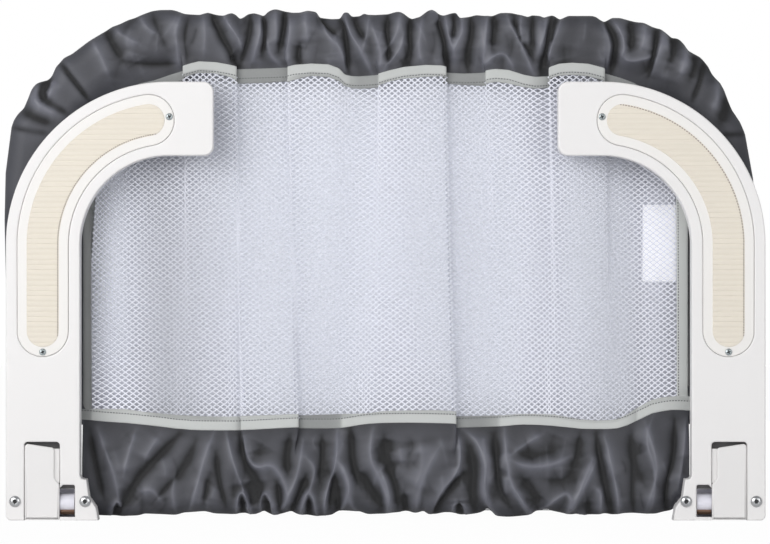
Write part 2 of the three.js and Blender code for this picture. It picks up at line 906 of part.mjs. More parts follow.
function lowRidge(x) {
  return ridges(x, lowRidgeShares, lowRidgeHeightShares);
}

// Closed section of the cover round the tube: outward reach, inward reach, depth in front and behind
function coverSection(outward, inward, front, back) {
  const side = (depth) => {
    const edge = Math.min(coverEdgeDepth, depth);
    return [
      ...sectionOutShares.map(([u, v]) => [u * outward, v * depth]),
      ...sectionInShares.map(([u, v]) => [-u * inward, edge + v * (depth - edge)]),
    ];
  };
  const behind = side(back);
  const ahead = side(front).map(([u, v]) => [u, -v]);
  return [...behind, ...ahead.reverse().slice(0, -1)];
}

function coverAlong(stations, sectionAt) {
  const skin = loft(stations.map((place, i) => ringAt(place, sectionAt(place, i / (stations.length - 1)))));
  const turns = stations.filter((place, i) => {
    const before = stations[i - 1];
    const after = stations[i + 1];
    return !before || !after || before.nx !== place.nx || after.nx !== place.nx;
  });
  const bore = pastEnds(turns).map((place) => ringAt(place, circle(coverBore, coverBoreSides)));
  return skin.subtract(loft(bore));
}

// Stations along a straight run of the frame
function straightStations(from, to, height, angle, steps) {
  const places = [];
  for (let i = 0; i <= steps; i++) {
    places.push(station(from + ((to - from) * i) / steps, height, angle));
  }
  return places;
}

function coverTop() {
  const seam = seamGap / (frameBend * degree);
  const straight = straightStations(frameBendX, -frameBendX, railHeight, rightAngle, topSteps);
  const right = bendStations(gussetHighDegrees + seam, 90, 5).slice(0, -1);
  const left = right.map((place) => station(-place.x, place.z, Math.atan2(place.nz, -place.nx))).reverse();
  return coverAlong([...right, ...straight, ...left], (place) => {
    const ridge = topRidge(place.x);
    return coverSection(
      coverRise + coverFold * (ridge - 0.5),
      coverBand - foldRise * ridge,
      coverDepth + coverFold * ridge,
      coverDepth + coverFold * (1 - ridge),
    );
  });
}

// Height of the skirt's upper edge at x: it dips at the folds and rises towards both ends
function skirtEdge(x) {
  const run = Math.max(0, Math.abs(x) - windowHalf + skirtLiftRun) / (skirtLiftRun + tapeWide);
  const share = Math.min(1, run);
  const lift = x > 0 ? skirtLiftRight : skirtLiftLeft;
  return skirtTop - foldRise * lowRidge(x) + lift * share * share * (3 - 2 * share);
}

function coverBottom() {
  const stations = straightStations(-skirtEnd, skirtEnd, lowRailHeight, -rightAngle, skirtSteps);
  return coverAlong(stations, (place) => {
    const ridge = lowRidge(place.x);
    const full = Math.min(1, (skirtEnd - Math.abs(place.x)) / skirtEndRun);
    const front = coverDepth + coverFold * ridge;
    return coverSection(
      skirtDrop - coverFold * 0.4 * (1 - ridge),
      skirtEdge(place.x) - lowRailHeight,
      skirtEndDepth + (front - skirtEndDepth) * full,
      coverDepth + coverFold * (1 - ridge),
    );
  });
}

function coverCorner(slack) {
  const seam = seamGap / (frameBend * degree);
  return coverAlong(bendStations(gussetLowDegrees + seam, gussetHighDegrees - seam, 5), (place, share) => {
    const outward = coverRise + (slack - coverRise) * (1 - share) ** 2;
    const puff = Math.sin(share * Math.PI);
    return coverSection(outward - coverFold * puff, coverBand, coverDepth + coverFold * puff, coverDepth);
  });
}

function coverSide(slack) {
  const seam = seamGap / (frameBend * degree);
  const steps = 6;
  const upright = [];
  for (let i = 0; i < steps; i++) {
    upright.push(station(uprightReach, coverLow + ((frameBendHeight - coverLow) * i) / steps, 0));
  }
  return coverAlong([...upright, ...bendStations(0, gussetLowDegrees - seam, 1)], (place, share) =>
    coverSection(slack + coverFold * Math.sin(3 * Math.PI * share), coverBand, coverDepth, coverDepth),
  );
}

// Binding tape round the net window, as a flat box section that holds both layers of net
function tapeSection(shift, forward) {
  const near = -coverBand - seamGap - shift;
  const far = near - tapeWide + seamGap + gap;
  return [
    [near, -tapeDepth - forward],
    [near, tapeDepth],
    [far, tapeDepth],
    [far, -tapeDepth - forward],
  ];
}

function tapeTop() {
  const straight = straightStations(frameBendX, -frameBendX, railHeight, rightAngle, topSteps);
  const right = bendStations(0, 90, bendSteps).slice(0, -1);
  const left = right.map((place) => station(-place.x, place.z, Math.atan2(place.nz, -place.nx))).reverse();
  const rings = [...right, ...straight, ...left].map((place) => {
    const ridge = topRidge(place.x) * place.nz ** 4;
    return ringAt(place, tapeSection(-foldRise * topRidge(place.x), foldForward * ridge));
  });
  return loft(rings);
}

function tapeBottom() {
  const stations = straightStations(-skirtEnd, skirtEnd, 0, -rightAngle, skirtSteps);
  const rings = stations.map((place) => {
    const low = -skirtEdge(place.x) - gap;
    const high = low - tapeWide + 2 * gap;
    const front = -tapeDepth - foldForward * lowRidge(place.x);
    return ringAt(place, [
      [low, front],
      [low, tapeDepth],
      [high, tapeDepth],
      [high, front],
    ]);
  });
  return loft(rings);
}

function tapeSide(lift) {
  const inner = windowHalf + gap;
  const low = netLow + lift + seamGap;
  return block(inner, inner + tapeWide - 2 * gap, -tapeDepth, tapeDepth, low, frameBendHeight - gap);
}

// Half of the net window's outline, upwards on the right from the bottom tape to the top
function netEdge(x) {
  const bendIn = frameBend - coverBand - tapeWide - gap;
  const away = Math.max(0, Math.abs(x) - frameBendX);
  const high = frameBendHeight + Math.sqrt(Math.max(0, bendIn * bendIn - away * away));
  return high + (away > 0 ? 0 : foldRise * topRidge(x));
}

function netFoot(x) {
  return skirtEdge(x) + tapeWide + gap;
}

// Outline of the net between its tapes, with its edge points at the folds' spacing
function netOutline(steps) {
  const reach = windowHalf - gap;
  const low = [];
  const high = [];
  for (let i = 0; i <= steps; i++) {
    const x = -reach + (2 * reach * i) / steps;
    low.push(new THREE.Vector2(x, netFoot(x)));
    high.push(new THREE.Vector2(x, netEdge(x)));
  }
  return [...low, ...high.reverse()];
}

// Diamond gap of the net
function netGap(x, z) {
  const wide = netCellWide - netStrand;
  const high = (netCellHigh * wide) / netCellWide;
  return [
    new THREE.Vector2(x + wide, z),
    new THREE.Vector2(x, z - high),
    new THREE.Vector2(x - wide, z),
    new THREE.Vector2(x, z + high),
  ];
}

// Sheet pushed from front to back and then laid over the folds by a shift along Y
function foldedSheet(shape, depth, forwardAt) {
  const geometry = new THREE.ExtrudeGeometry(shape, { depth: netThick, bevelEnabled: false });
  const place = geometry.getAttribute("position");
  for (let i = 0; i < place.count; i++) {
    const x = place.getX(i);
    const height = place.getY(i);
    const back = place.getZ(i);
    place.setXYZ(i, x, depth - back - forwardAt(x, height), height);
  }
  return solidOf(geometry);
}

function heightShare(height) {
  return (height - netLow) / (netTop - netLow);
}

function netFront() {
  const shape = new THREE.Shape(netOutline(netSteps));
  let row = 0;
  for (let z = netLow + netCellHigh; z < netTop - netCellHigh; z += netCellHigh) {
    const shift = (row % 2) * netCellWide;
    const reach = windowHalf - netBorder - netCellWide;
    for (let x = -reach + shift; x <= reach; x += netCellWide * 2) {
      const room = Math.min(netEdge(x - netCellWide), netEdge(x), netEdge(x + netCellWide)) - z;
      if (room > netCellHigh && z - netFoot(x) > netCellHigh) {
        shape.holes.push(new THREE.Path(netGap(x, z)));
      }
    }
    row += 1;
  }
  return foldedSheet(shape, -netDepth, (x, height) => {
    const share = heightShare(height);
    return foldForward * (topRidge(x) * share + lowRidge(x) * (1 - share)) * 0.5;
  });
}

function netBack() {
  return foldedSheet(new THREE.Shape(netOutline(netSteps)), netDepth + netThick, (x, height) => {
    return -coverFold * 0.5 * topRidge(x + netCellWide) * heightShare(height);
  });
}

// Blank cloth label between the layers of net, sewn to the side tape
function labelSheet() {
  const outer = windowHalf - gap;
  return block(
    outer - labelWide,
    outer,
    -labelThick / 2,
    labelThick / 2,
    labelHeight - labelTall / 2,
    labelHeight + labelTall / 2,
  );
}

// Assembly

function piece(name, solid, material) {
  const mesh = new THREE.Mesh(geometryOf(solid), material);
  mesh.name = name;
  return mesh;
}

function armGroup(side) {
  const group = new THREE.Group();
  const shell = piece(`arm_front_shell_${side}`, armFrontShell(), whitePlastic);
  const back = piece(`arm_back_shell_${side}`, armBackShell(), whitePlastic);
  group.add(shell, back);
  group.add(piece(`bezel_${side}`, bezel(), whitePlastic));
  group.add(piece(`grip_pad_${side}`, gripPad(), padRubber));
  screwPlaces().forEach(([x, z], i) => {
    const screw = piece(`bezel_screw_${side}_${i + 1}`, bezelScrew(), brightSteel);
    screw.position.set(x, armFront - gap, z);
    group.add(screw);
  });
  [boltInner, boltOuter].forEach((x, i) => {
    const bolt = piece(`foot_bolt_${side}_${i + 1}`, footBolt(), brightSteel);
    bolt.position.set(x, armFront, boltHeight);
    const nut = piece(`foot_nut_${side}_${i + 1}`, footNut(), brightSteel);
    nut.position.set(x, armBack - nutThick - nutSink, boltHeight);
    group.add(bolt, nut);
  });
  group.add(piece(`hinge_pin_${side}`, hingePin(), brightSteel));
  group.add(piece(`lever_pin_${side}`, leverPin(), brightSteel));
  group.add(piece(`lever_spring_${side}`, leverSpring(), brightSteel));
  group.add(piece(`lever_${side}`, leverSolid(), whitePlastic));
  return group;
}

function frameGroup(side, tube, slack, lift) {
  const group = new THREE.Group();
  group.add(piece(`upper_tube_${side}`, upperTube(tube), paintedTube));
  group.add(piece(`lower_tube_${side}`, lowerTube(tube), paintedTube));
  group.add(piece(`hinge_base_${side}`, hingeBase(tube), hingePlastic));
  group.add(piece(`latch_plate_${side}`, latchPlate(), latchSteel));
  group.add(piece(`cover_corner_${side}`, coverCorner(slack), satinCloth));
  group.add(piece(`cover_side_${side}`, coverSide(slack), satinCloth));
  group.add(piece(`tape_side_${side}`, tapeSide(lift), tapeCloth));
  return group;
}

function collars() {
  return [railHeight, lowRailHeight].map((height, i) => {
    const collar = piece(`slide_collar_${i === 0 ? "upper" : "lower"}`, slideCollar(), whitePlastic);
    collar.rotation.z = -rightAngle;
    collar.position.set(mouthReach, 0, height);
    return collar;
  });
}

const guard = new THREE.Group();
const rightEnd = new THREE.Group();
rightEnd.add(frameGroup("right", innerTube, coverSlackRight, skirtLiftRight), armGroup("right"));
const leftEnd = new THREE.Group();
leftEnd.scale.x = -1;
leftEnd.add(frameGroup("left", outerTube, coverSlackLeft, skirtLiftLeft), armGroup("left"));
guard.add(rightEnd, leftEnd, ...collars());
guard.add(piece("cover_top", coverTop(), satinCloth));
guard.add(piece("cover_bottom", coverBottom(), satinCloth));
guard.add(piece("tape_top", tapeTop(), tapeCloth));
guard.add(piece("tape_bottom", tapeBottom(), tapeCloth));
guard.add(piece("net_front", netFront(), netCloth));
guard.add(piece("net_back", netBack(), netCloth));
guard.add(piece("label_right", labelSheet(), labelCloth));

// The origin lies on the floor, in the middle of the width and of the depth
guard.position.y = (boltHeadRise - armFront - coverDepth - coverFold) / 2;

export default guard;
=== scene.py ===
import bmesh
import bpy
import numpy as np
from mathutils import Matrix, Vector
from mathutils.geometry import tessellate_polygon


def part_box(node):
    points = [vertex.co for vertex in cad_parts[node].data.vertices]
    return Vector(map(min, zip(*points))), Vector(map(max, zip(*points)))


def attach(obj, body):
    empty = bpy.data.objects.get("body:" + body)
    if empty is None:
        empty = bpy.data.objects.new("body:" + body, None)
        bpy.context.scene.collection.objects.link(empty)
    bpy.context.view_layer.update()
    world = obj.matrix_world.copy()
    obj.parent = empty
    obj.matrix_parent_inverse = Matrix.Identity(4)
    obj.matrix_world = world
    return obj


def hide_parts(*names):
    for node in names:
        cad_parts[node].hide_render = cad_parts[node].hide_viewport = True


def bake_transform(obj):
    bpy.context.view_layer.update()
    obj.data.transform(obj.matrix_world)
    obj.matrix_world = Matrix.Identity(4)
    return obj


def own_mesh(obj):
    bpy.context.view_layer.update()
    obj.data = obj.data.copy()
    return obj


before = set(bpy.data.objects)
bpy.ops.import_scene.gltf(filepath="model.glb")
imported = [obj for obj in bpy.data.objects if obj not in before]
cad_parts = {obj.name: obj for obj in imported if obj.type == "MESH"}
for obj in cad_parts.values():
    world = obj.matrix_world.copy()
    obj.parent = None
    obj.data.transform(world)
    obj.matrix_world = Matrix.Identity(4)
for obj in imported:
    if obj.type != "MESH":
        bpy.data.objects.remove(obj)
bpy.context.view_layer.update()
print("frame loaded,", len(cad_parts), "nodes")

# Lengths are in millimetres until a mesh is made. X runs along the rail, Z is up, the arms are on the -Y side.
# A place as seen is (across, down): millimetres in the plane of the arms' fronts, from the view's upper left.
toMetres = 0.001
view = {
    "distance": 3700.0, "frontPlane": -32.1, "middle": 385.7, "eyeLine": 272.0, "eyeHeight": 248.5,
    "width": 770.0, "sensor": 36.0,
}


# A pinhole looks straight on, so a point seen at (across, down) that lies at a depth has its X and Z
# in proportion to its distance from the eye.
def fromPhoto(across, down, depth):
    share = 1 + (np.asarray(depth, float) - view["frontPlane"]) / view["distance"]
    x = (np.asarray(across, float) - view["middle"]) * share
    z = view["eyeHeight"] + (view["eyeLine"] - np.asarray(down, float)) * share
    return x, z


# Meshes


# An object at the origin that holds the mesh.
def linkedObject(name, mesh):
    piece = bpy.data.objects.new(name, mesh)
    bpy.context.scene.collection.objects.link(piece)
    return piece


# Puts whole arrays of points and faces (all of one corner count) into a mesh, in metres. The shade, how open
# to the light each point is, goes into a second UV layer.
def meshFrom(name, points, faces, uv=None, smooth=True, shade=None):
    points = np.asarray(points, float).reshape(-1, 3) * toMetres
    faces = np.asarray(faces, np.int32)
    mesh = bpy.data.meshes.new(name)
    mesh.vertices.add(len(points))
    mesh.vertices.foreach_set("co", points.astype(np.float32).ravel())
    mesh.loops.add(faces.size)
    mesh.loops.foreach_set("vertex_index", faces.ravel())
    mesh.polygons.add(len(faces))
    mesh.polygons.foreach_set("loop_start", np.arange(0, faces.size, faces.shape[1], dtype=np.int32))
    mesh.update(calc_edges=True)
    mesh.polygons.foreach_set("use_smooth", np.full(len(faces), smooth))
    if uv is not None:
        layer = mesh.uv_layers.new(name="UVMap")
        layer.data.foreach_set("uv", np.asarray(uv, np.float32).reshape(-1, 2)[faces.ravel()].ravel())
    if shade is not None:
        layer = mesh.uv_layers.new(name="shade")
        layer.data.foreach_set("uv", np.repeat(np.asarray(shade, np.float32).ravel()[faces.ravel()], 2))
    mesh.validate()
    mesh.update()
    return mesh


# Quads over a grid of rows by columns, closed round the columns where asked.
def gridFaces(rows, columns, roundColumns=False, flip=False):
    r, c = np.meshgrid(np.arange(rows - 1), np.arange(columns if roundColumns else columns - 1), indexing="ij")
    here, right = r * columns + c, r * columns + (c + 1) % columns
    quads = np.stack([here, right, right + columns, here + columns], axis=-1).reshape(-1, 4)
    return quads[:, ::-1] if flip else quads


# Rises from 0 at the low value to 1 at the high one, level at both ends: three squares less two cubes.
def smoothStep(low, high, value):
    share = np.clip((value - low) / (high - low), 0, 1)
    return share * share * (3 - 2 * share)


# Lengths of a line's legs, summed up to each of its points.
def lengthsAlong(line):
    return np.concatenate([[0], np.cumsum(np.linalg.norm(np.diff(line, axis=0), axis=1))])


# Runs along a row of knots at an even step of plan length, carrying every column of the knots.
def evenRun(knots, step):
    knots = np.asarray(knots, float)
    along = lengthsAlong(knots[:, :2])
    where = np.linspace(0, along[-1], int(round(along[-1] / step)) + 1)
    return np.stack([np.interp(where, along, column) for column in knots.T], axis=1), where


# Averages each point with its neighbours under a bell curve of the given reach, ends held.
def rounded(run, step, reach):
    half = max(1, int(4 * reach / step))
    bell = np.exp(-0.5 * (np.arange(-half, half + 1) * step / reach) ** 2)
    bell /= bell.sum()
    spare = np.pad(run, ((half, half), (0, 0)), mode="reflect", reflect_type="odd")
    return np.stack([np.convolve(column, bell, "valid") for column in spare.T], axis=1)


# Arc of a circle, angles in degrees.
def arcPoints(x, z, radius, start, end, count):
    angle = np.radians(np.linspace(start, end, count))
    return np.stack([x + radius * np.cos(angle), z + radius * np.sin(angle)], axis=1)


# Materials
finishes = {}


# A new material, its tree and its surface shader.
def shaderTree(name):
    material = bpy.data.materials.new(name)
    material.use_nodes = True
    return material, material.node_tree, material.node_tree.nodes["Principled BSDF"]


# A node at a place in the tree: its settings first, then the values of its sockets.
def addNode(tree, kind, place, sockets=None, **settings):
    node = tree.nodes.new("ShaderNode" + kind)
    node.location = place
    for key, value in settings.items():
        setattr(node, key, value)
    for name, value in (sockets or {}).items():
        node.inputs[name].default_value = value
    return node


# Joins each row's output (node, name) to its input (node, name).
def join(tree, *rows):
    for giver, output, taker, entry in rows:
        tree.links.new(giver.outputs[output], taker.inputs[entry])


# A group with its inputs, which are numbers unless they have no usual value, and its outputs.
def newGroup(name, inputs, outputs):
    group = bpy.data.node_groups.new(name, "ShaderNodeTree")
    for title, value in inputs.items():
        kind = "NodeSocketVector" if value is None else "NodeSocketFloat"
        socket = group.interface.new_socket(name=title, in_out="INPUT", socket_type=kind)
        if value is not None:
            socket.default_value = value
    for title in outputs:
        group.interface.new_socket(name=title, in_out="OUTPUT", socket_type="NodeSocketFloat")
    return group, group.nodes.new("NodeGroupInput"), group.nodes.new("NodeGroupOutput")


# A group that mottles a value: large soft patches plus fine grain, from Object coordinates.
def buildMottle():
    usual = {"Patch Scale": 8.0, "Grain Scale": 700.0, "Patch Share": 0.5}
    group, enter, leave = newGroup("handledSurface", usual, ("Patch", "Grain"))
    place = addNode(group, "TexCoord", (-600, 220))
    patch = addNode(group, "TexNoise", (-300, 160), {"Detail": 4.0, "Roughness": 0.55})
    grain = addNode(group, "TexNoise", (-300, -160), {"Detail": 2.0, "Roughness": 0.6})
    blend = addNode(group, "Mix", (80, 120), data_type="FLOAT")
    join(
        group, (place, "Object", patch, "Vector"), (place, "Object", grain, "Vector"),
        (enter, "Patch Scale", patch, "Scale"), (enter, "Grain Scale", grain, "Scale"),
        (enter, "Patch Share", blend, "Factor"), (grain, "Fac", blend, "A"), (patch, "Fac", blend, "B"),
        (blend, "Result", leave, "Patch"), (grain, "Fac", leave, "Grain"),
    )
    return group


# A row of dashes: within half a line's width of its place across the ribbon, on for part of each dash.
# On the tape the dashes are stitches; on the pad they are painted shadow along its toothed edge.
def buildStitchAndShadowLine():
    usual = {"UV": None, "Line Place": 0.010, "Dash Length": 0.0029, "Line Width": 0.0005}
    group, enter, leave = newGroup("stitchAndShadowRow", usual, ("Mask",))
    parts = addNode(group, "SeparateXYZ", (-700, 0))
    gap = addNode(group, "Math", (-500, 100), operation="SUBTRACT")
    away = addNode(group, "Math", (-320, 100), operation="ABSOLUTE")
    onLine = addNode(group, "Math", (-140, 100), operation="LESS_THAN")
    count = addNode(group, "Math", (-500, -120), operation="DIVIDE")
    part = addNode(group, "Math", (-320, -120), operation="FRACT")
    onDash = addNode(group, "Math", (-140, -120), {1: 0.66}, operation="LESS_THAN")
    both = addNode(group, "Math", (100, 0), operation="MULTIPLY")
    join(
        group, (enter, "UV", parts, "Vector"), (parts, "Y", gap, 0), (enter, "Line Place", gap, 1),
        (gap, "Value", away, 0), (away, "Value", onLine, 0), (enter, "Line Width", onLine, 1),
        (parts, "X", count, 0), (enter, "Dash Length", count, 1), (count, "Value", part, 0),
        (part, "Value", onDash, 0), (onLine, "Value", both, 0), (onDash, "Value", both, 1),
        (both, "Value", leave, "Mask"),
    )
    return group


mottle = buildMottle()
stitchAndShadowMask = buildStitchAndShadowLine()
# Tones of the tape's stitches and of the painted shadow along the pad's toothed edge.
stitchAndShadowTones = {"pad": (0.3, 0.25, 0.22), "tape": (0.15, 0.155, 0.16)}


# The mottle group inside a material.
def mottled(tree, place, patchScale, grainScale, patchShare):
    sockets = {"Patch Scale": patchScale, "Grain Scale": grainScale, "Patch Share": patchShare}
    return addNode(tree, "Group", place, sockets, node_tree=mottle)


# Two tones to be mixed by a factor: the first at 0, the second at 1.
def toneMix(tree, place, first, second):
    return addNode(tree, "Mix", place, {"A": (*first, 1), "B": (*second, 1)}, data_type="RGBA")


# Lays a row of dashes over a colour: the line's tone shows where the group's mask is 1.
# Stitches on the tape; on the pad, painted shadow along its toothed edge.
def stitchesAndShadowOver(tree, colour, lineTone, seam):
    place = addNode(tree, "UVMap", (-900, 700), uv_map="UVMap")
    dashes = addNode(tree, "Group", (-400, 700), seam, node_tree=stitchAndShadowMask)
    sewn = addNode(tree, "Mix", (-180, 400), {"B": (*lineTone, 1)}, data_type="RGBA")
    join(tree, (place, "UV", dashes, "UV"), (dashes, "Mask", sewn, "Factor"), (*colour, sewn, "A"))
    return sewn, "Result"


# Moulded plastic, rubber, paint or metal: two close tones mottled together, roughness that follows the
# patches, and a faint grain in relief.
def solidFinish(
    name, pale, deep, roughness, spread, grainScale=700.0, relief=0.02, metallic=0.0, patchScale=8.0, seam=None
):
    material, tree, shader = shaderTree(name)
    surface = mottled(tree, (-700, 0), patchScale, grainScale, patchShare=0.6)
    tone = toneMix(tree, (-400, 160), pale, deep)
    rough = addNode(tree, "MapRange", (-400, -60), {"To Min": roughness - spread, "To Max": roughness + spread})
    bump = addNode(tree, "Bump", (-200, -260), {"Strength": relief, "Distance": 0.0004})
    # A seam given here lays a dark dashed line, which on the pad is painted shadow along its toothed edge.
    colour = stitchesAndShadowOver(tree, (tone, "Result"), stitchAndShadowTones["pad"], seam) if seam else (tone, "Result")
    join(
        tree, (surface, "Patch", tone, "Factor"), (surface, "Patch", rough, "Value"),
        (surface, "Grain", bump, "Height"), (*colour, shader, "Base Color"),
        (rough, "Result", shader, "Roughness"), (bump, "Normal", shader, "Normal"),
    )
    shader.inputs["Metallic"].default_value = metallic
    finishes[name] = material


# Woven cloth on its own UV, which is in metres: crossing waves are the threads, a slow noise is wear. The
# second UV says how open to the light a place is, painted into the colour as shade: it goes from the deep tone
# to the pale one.
def clothFinish(name, pale, deep, roughness, dull, sheen, shine, threads, relief, seam=None, paintedGlow=0.0):
    material, tree, shader = shaderTree(name)
    place = addNode(tree, "UVMap", (-1300, 0), uv_map="UVMap")
    light = addNode(tree, "UVMap", (-1300, 300), uv_map="shade")
    parts = addNode(tree, "SeparateXYZ", (-1100, 300))
    warp = addNode(tree, "TexWave", (-850, 120), {"Scale": threads})
    weft = addNode(tree, "TexWave", (-850, -160), {"Scale": threads * 0.6}, bands_direction="Y")
    weave = addNode(tree, "Math", (-600, 0), operation="MAXIMUM")
    surface = mottled(tree, (-1100, 560), patchScale=14.0, grainScale=420.0, patchShare=0.7)
    sway = addNode(tree, "MapRange", (-850, 560), {"To Min": -0.1, "To Max": 0.1})
    shown = addNode(tree, "Math", (-620, 400), operation="ADD", use_clamp=True)
    tone = toneMix(tree, (-400, 260), deep, pale)
    rough = addNode(tree, "MapRange", (-400, 20), {"To Min": min(roughness + dull, 1.0), "To Max": roughness})
    bump = addNode(tree, "Bump", (-200, -220), {"Strength": relief, "Distance": 0.0003})
    colour = stitchesAndShadowOver(tree, (tone, "Result"), stitchAndShadowTones["tape"], seam) if seam else (tone, "Result")
    join(
        tree, (place, "UV", warp, "Vector"), (place, "UV", weft, "Vector"), (light, "UV", parts, "Vector"),
        (warp, "Fac", weave, 0), (weft, "Fac", weave, 1), (surface, "Patch", sway, "Value"),
        (parts, "X", shown, 0), (sway, "Result", shown, 1), (shown, "Value", tone, "Factor"),
        (shown, "Value", rough, "Value"), (rough, "Result", shader, "Roughness"),
        (weave, "Value", bump, "Height"), (bump, "Normal", shader, "Normal"), (*colour, shader, "Base Color"),
    )
    shader.inputs["Sheen Weight"].default_value = sheen
    shader.inputs["Sheen Roughness"].default_value = 0.4
    shader.inputs["Specular IOR Level"].default_value = shine
    # Emission in the pale tone is a painted glow; only the label has it.
    shader.inputs["Emission Color"].default_value = (*pale, 1)
    shader.inputs["Emission Strength"].default_value = paintedGlow
    finishes[name] = material


# Net: two tones mixed by how plainly the cells show, which is the second value of its UV, times the light of
# the place.
def netFinish(name, faint, plain, roughness):
    material, tree, shader = shaderTree(name)
    place = addNode(tree, "UVMap", (-1100, 0), uv_map="UVMap")
    parts = addNode(tree, "SeparateXYZ", (-900, 0))
    surface = mottled(tree, (-900, 300), patchScale=18.0, grainScale=500.0, patchShare=0.8)
    spread = {"From Min": 0.3, "From Max": 0.7, "To Min": -0.06, "To Max": 0.06}
    sway = addNode(tree, "MapRange", (-700, 300), spread)
    shown = addNode(tree, "Math", (-500, 100), operation="ADD", use_clamp=True)
    tone = toneMix(tree, (-250, 160), faint, plain)
    light = addNode(tree, "UVMap", (-700, -200), uv_map="shade")
    lit = addNode(tree, "SeparateXYZ", (-500, -200))
    toned = addNode(tree, "Mix", (-60, 160), data_type="RGBA", blend_type="MULTIPLY")
    toned.inputs["Factor"].default_value = 1.0
    join(
        tree, (place, "UV", parts, "Vector"), (surface, "Patch", sway, "Value"), (parts, "Y", shown, 0),
        (sway, "Result", shown, 1), (shown, "Value", tone, "Factor"), (light, "UV", lit, "Vector"),
        (tone, "Result", toned, "A"), (lit, "X", toned, "B"), (toned, "Result", shader, "Base Color"),
    )
    shader.inputs["Roughness"].default_value = roughness
    shader.inputs["Specular IOR Level"].default_value = 0.2
    finishes[name] = material


metal = {"grainScale": 500.0, "relief": 0.05, "metallic": 1.0, "patchScale": 60.0}
# Where the painted shadow runs along the pad's toothed edge, and its dash length and width.
padEdgeShadow = {"Line Place": 0.0150, "Dash Length": 0.0026, "Line Width": 0.0005}
solidFinish("armWhite", (0.80, 0.785, 0.78), (0.775, 0.76, 0.75), 0.36, 0.05)
solidFinish("bezelWhite", (0.82, 0.80, 0.775), (0.79, 0.77, 0.745), 0.34, 0.05)
solidFinish("slotShadow", (0.16, 0.155, 0.155), (0.10, 0.098, 0.1), 0.6, 0.05)
solidFinish("leverWhite", (0.77, 0.755, 0.75), (0.74, 0.725, 0.715), 0.4, 0.05)
solidFinish("padBeige", (0.76, 0.705, 0.615), (0.72, 0.66, 0.57), 0.7, 0.08, 300.0, 0.12, seam=padEdgeShadow)
solidFinish("boltSteel", (0.62, 0.63, 0.64), (0.42, 0.42, 0.43), 0.24, 0.08, **metal)
solidFinish("screwSteel", (0.5, 0.55, 0.56), (0.36, 0.4, 0.41), 0.3, 0.08, **metal)
# Near-black steel for the faces that line the bolts' sockets and the screws' crosses: painted shade in the
# recesses.
solidFinish("socketPaintedShade", (0.06, 0.06, 0.062), (0.03, 0.03, 0.032), 0.6, 0.1, **{**metal, "metallic": 0.4})
# White plastic of the hinge base and slide collar, a little darker and bluer than the arms': painted shade, as
# the hinge base sits in the shaded recess behind the window.
solidFinish("hingePlastic", (0.76, 0.755, 0.82), (0.71, 0.70, 0.77), 0.45, 0.05)
solidFinish("latchBrown", (0.30, 0.19, 0.13), (0.2, 0.12, 0.08), 0.45, 0.1, 300.0, 0.1, 0.6, 40.0)
solidFinish("tubePaint", (0.70, 0.705, 0.71), (0.66, 0.66, 0.665), 0.35, 0.06, 250.0, 0.06)
solidFinish("springSteel", (0.5, 0.5, 0.5), (0.38, 0.38, 0.38), 0.3, 0.06, **{**metal, "relief": 0.03})
clothFinish(
    "satin", (0.136, 0.139, 0.166), (0.004, 0.004, 0.005), roughness=0.45, dull=0.3, sheen=0.08, shine=0.6,
    threads=900.0, relief=0.08,
)
clothFinish(
    "tape", (0.61, 0.625, 0.61), (0.20, 0.205, 0.205), roughness=0.75, dull=0.1, sheen=0.2, shine=0.3,
    threads=500.0, relief=0.5, seam={"Line Place": 0.0108},
)
# The label glows a little: painted light, as if lit through from behind.
clothFinish(
    "labelCloth", (0.95, 0.95, 0.98), (0.9, 0.9, 0.93), roughness=0.8, dull=0.12, sheen=0.1, shine=0.3,
    threads=600.0, relief=0.3, paintedGlow=0.23,
)
# Faint and plain tones are partly painted light: where cells show faintly the strands are darker and the back
# sheet lighter so that its shade evens out, and where they show plainly the back sheet is darker, as painted
# shade seen through the cells.
netFinish("netStrand", (0.665, 0.68, 0.745), (0.89, 0.9, 0.97), 0.6)
netFinish("netBehind", (0.90, 0.915, 0.97), (0.62, 0.63, 0.70), 0.7)
print("finishes made")


# Gives a piece its finish, and its body and CAD node where they are named.
def dress(piece, finish, body=None, node=None):
    piece.data.materials.clear()
    piece.data.materials.append(finishes[finish])
    if body:
        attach(piece, body)
    if node:
        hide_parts(node)
    return piece


# Camera
camera = bpy.data.objects.new("camera", bpy.data.cameras.new("camera"))
bpy.context.scene.collection.objects.link(camera)
camera.data.sensor_width = view["sensor"]
camera.data.lens = view["sensor"] * view["distance"] / view["width"]
camera.data.clip_end = 50.0
eye = (view["width"] / 2 - view["middle"], view["frontPlane"] - view["distance"], view["eyeHeight"])
camera.location = [value * toMetres for value in eye]
camera.rotation_euler = (np.pi / 2, 0, 0)
bpy.context.scene.camera = camera

# Support arms: J-shaped plates with rounded edges. Every place is the right arm's, and side mirrors it.
sides = {"right": 1, "left": -1}
arm = {
    "reach": 380.0, "width": 74.0, "front": -32.1, "parting": -20.1, "back": -8.1, "seam": 0.2,
    "bendHeight": 276.0, "bend": 163.0, "tabEnd": 172.5, "tabCorner": 10.0, "footCorner": 5.0,
    "slotOuter": 361.5, "slotInner": 326.0, "slotTop": 78.5, "slotCorner": 3.5,
    "windowInner": 311.0, "windowTop": 35.5, "windowChamfer": 3.0, "windowCorner": 1.0,
    "backOpeningTop": 31.0, "backOpeningCorner": 2.0, "edge": 1.6, "matingEdge": 0.3,
    "flange": [(299.6, 41.0), (297.0, 23.0), (290.0, 13.0), (287.6, 0.0)],
    "flangeRound": [(0, 4), (-1.2, 1), (-4, 0)],  # from where the arm's inner side meets the flange's top
}


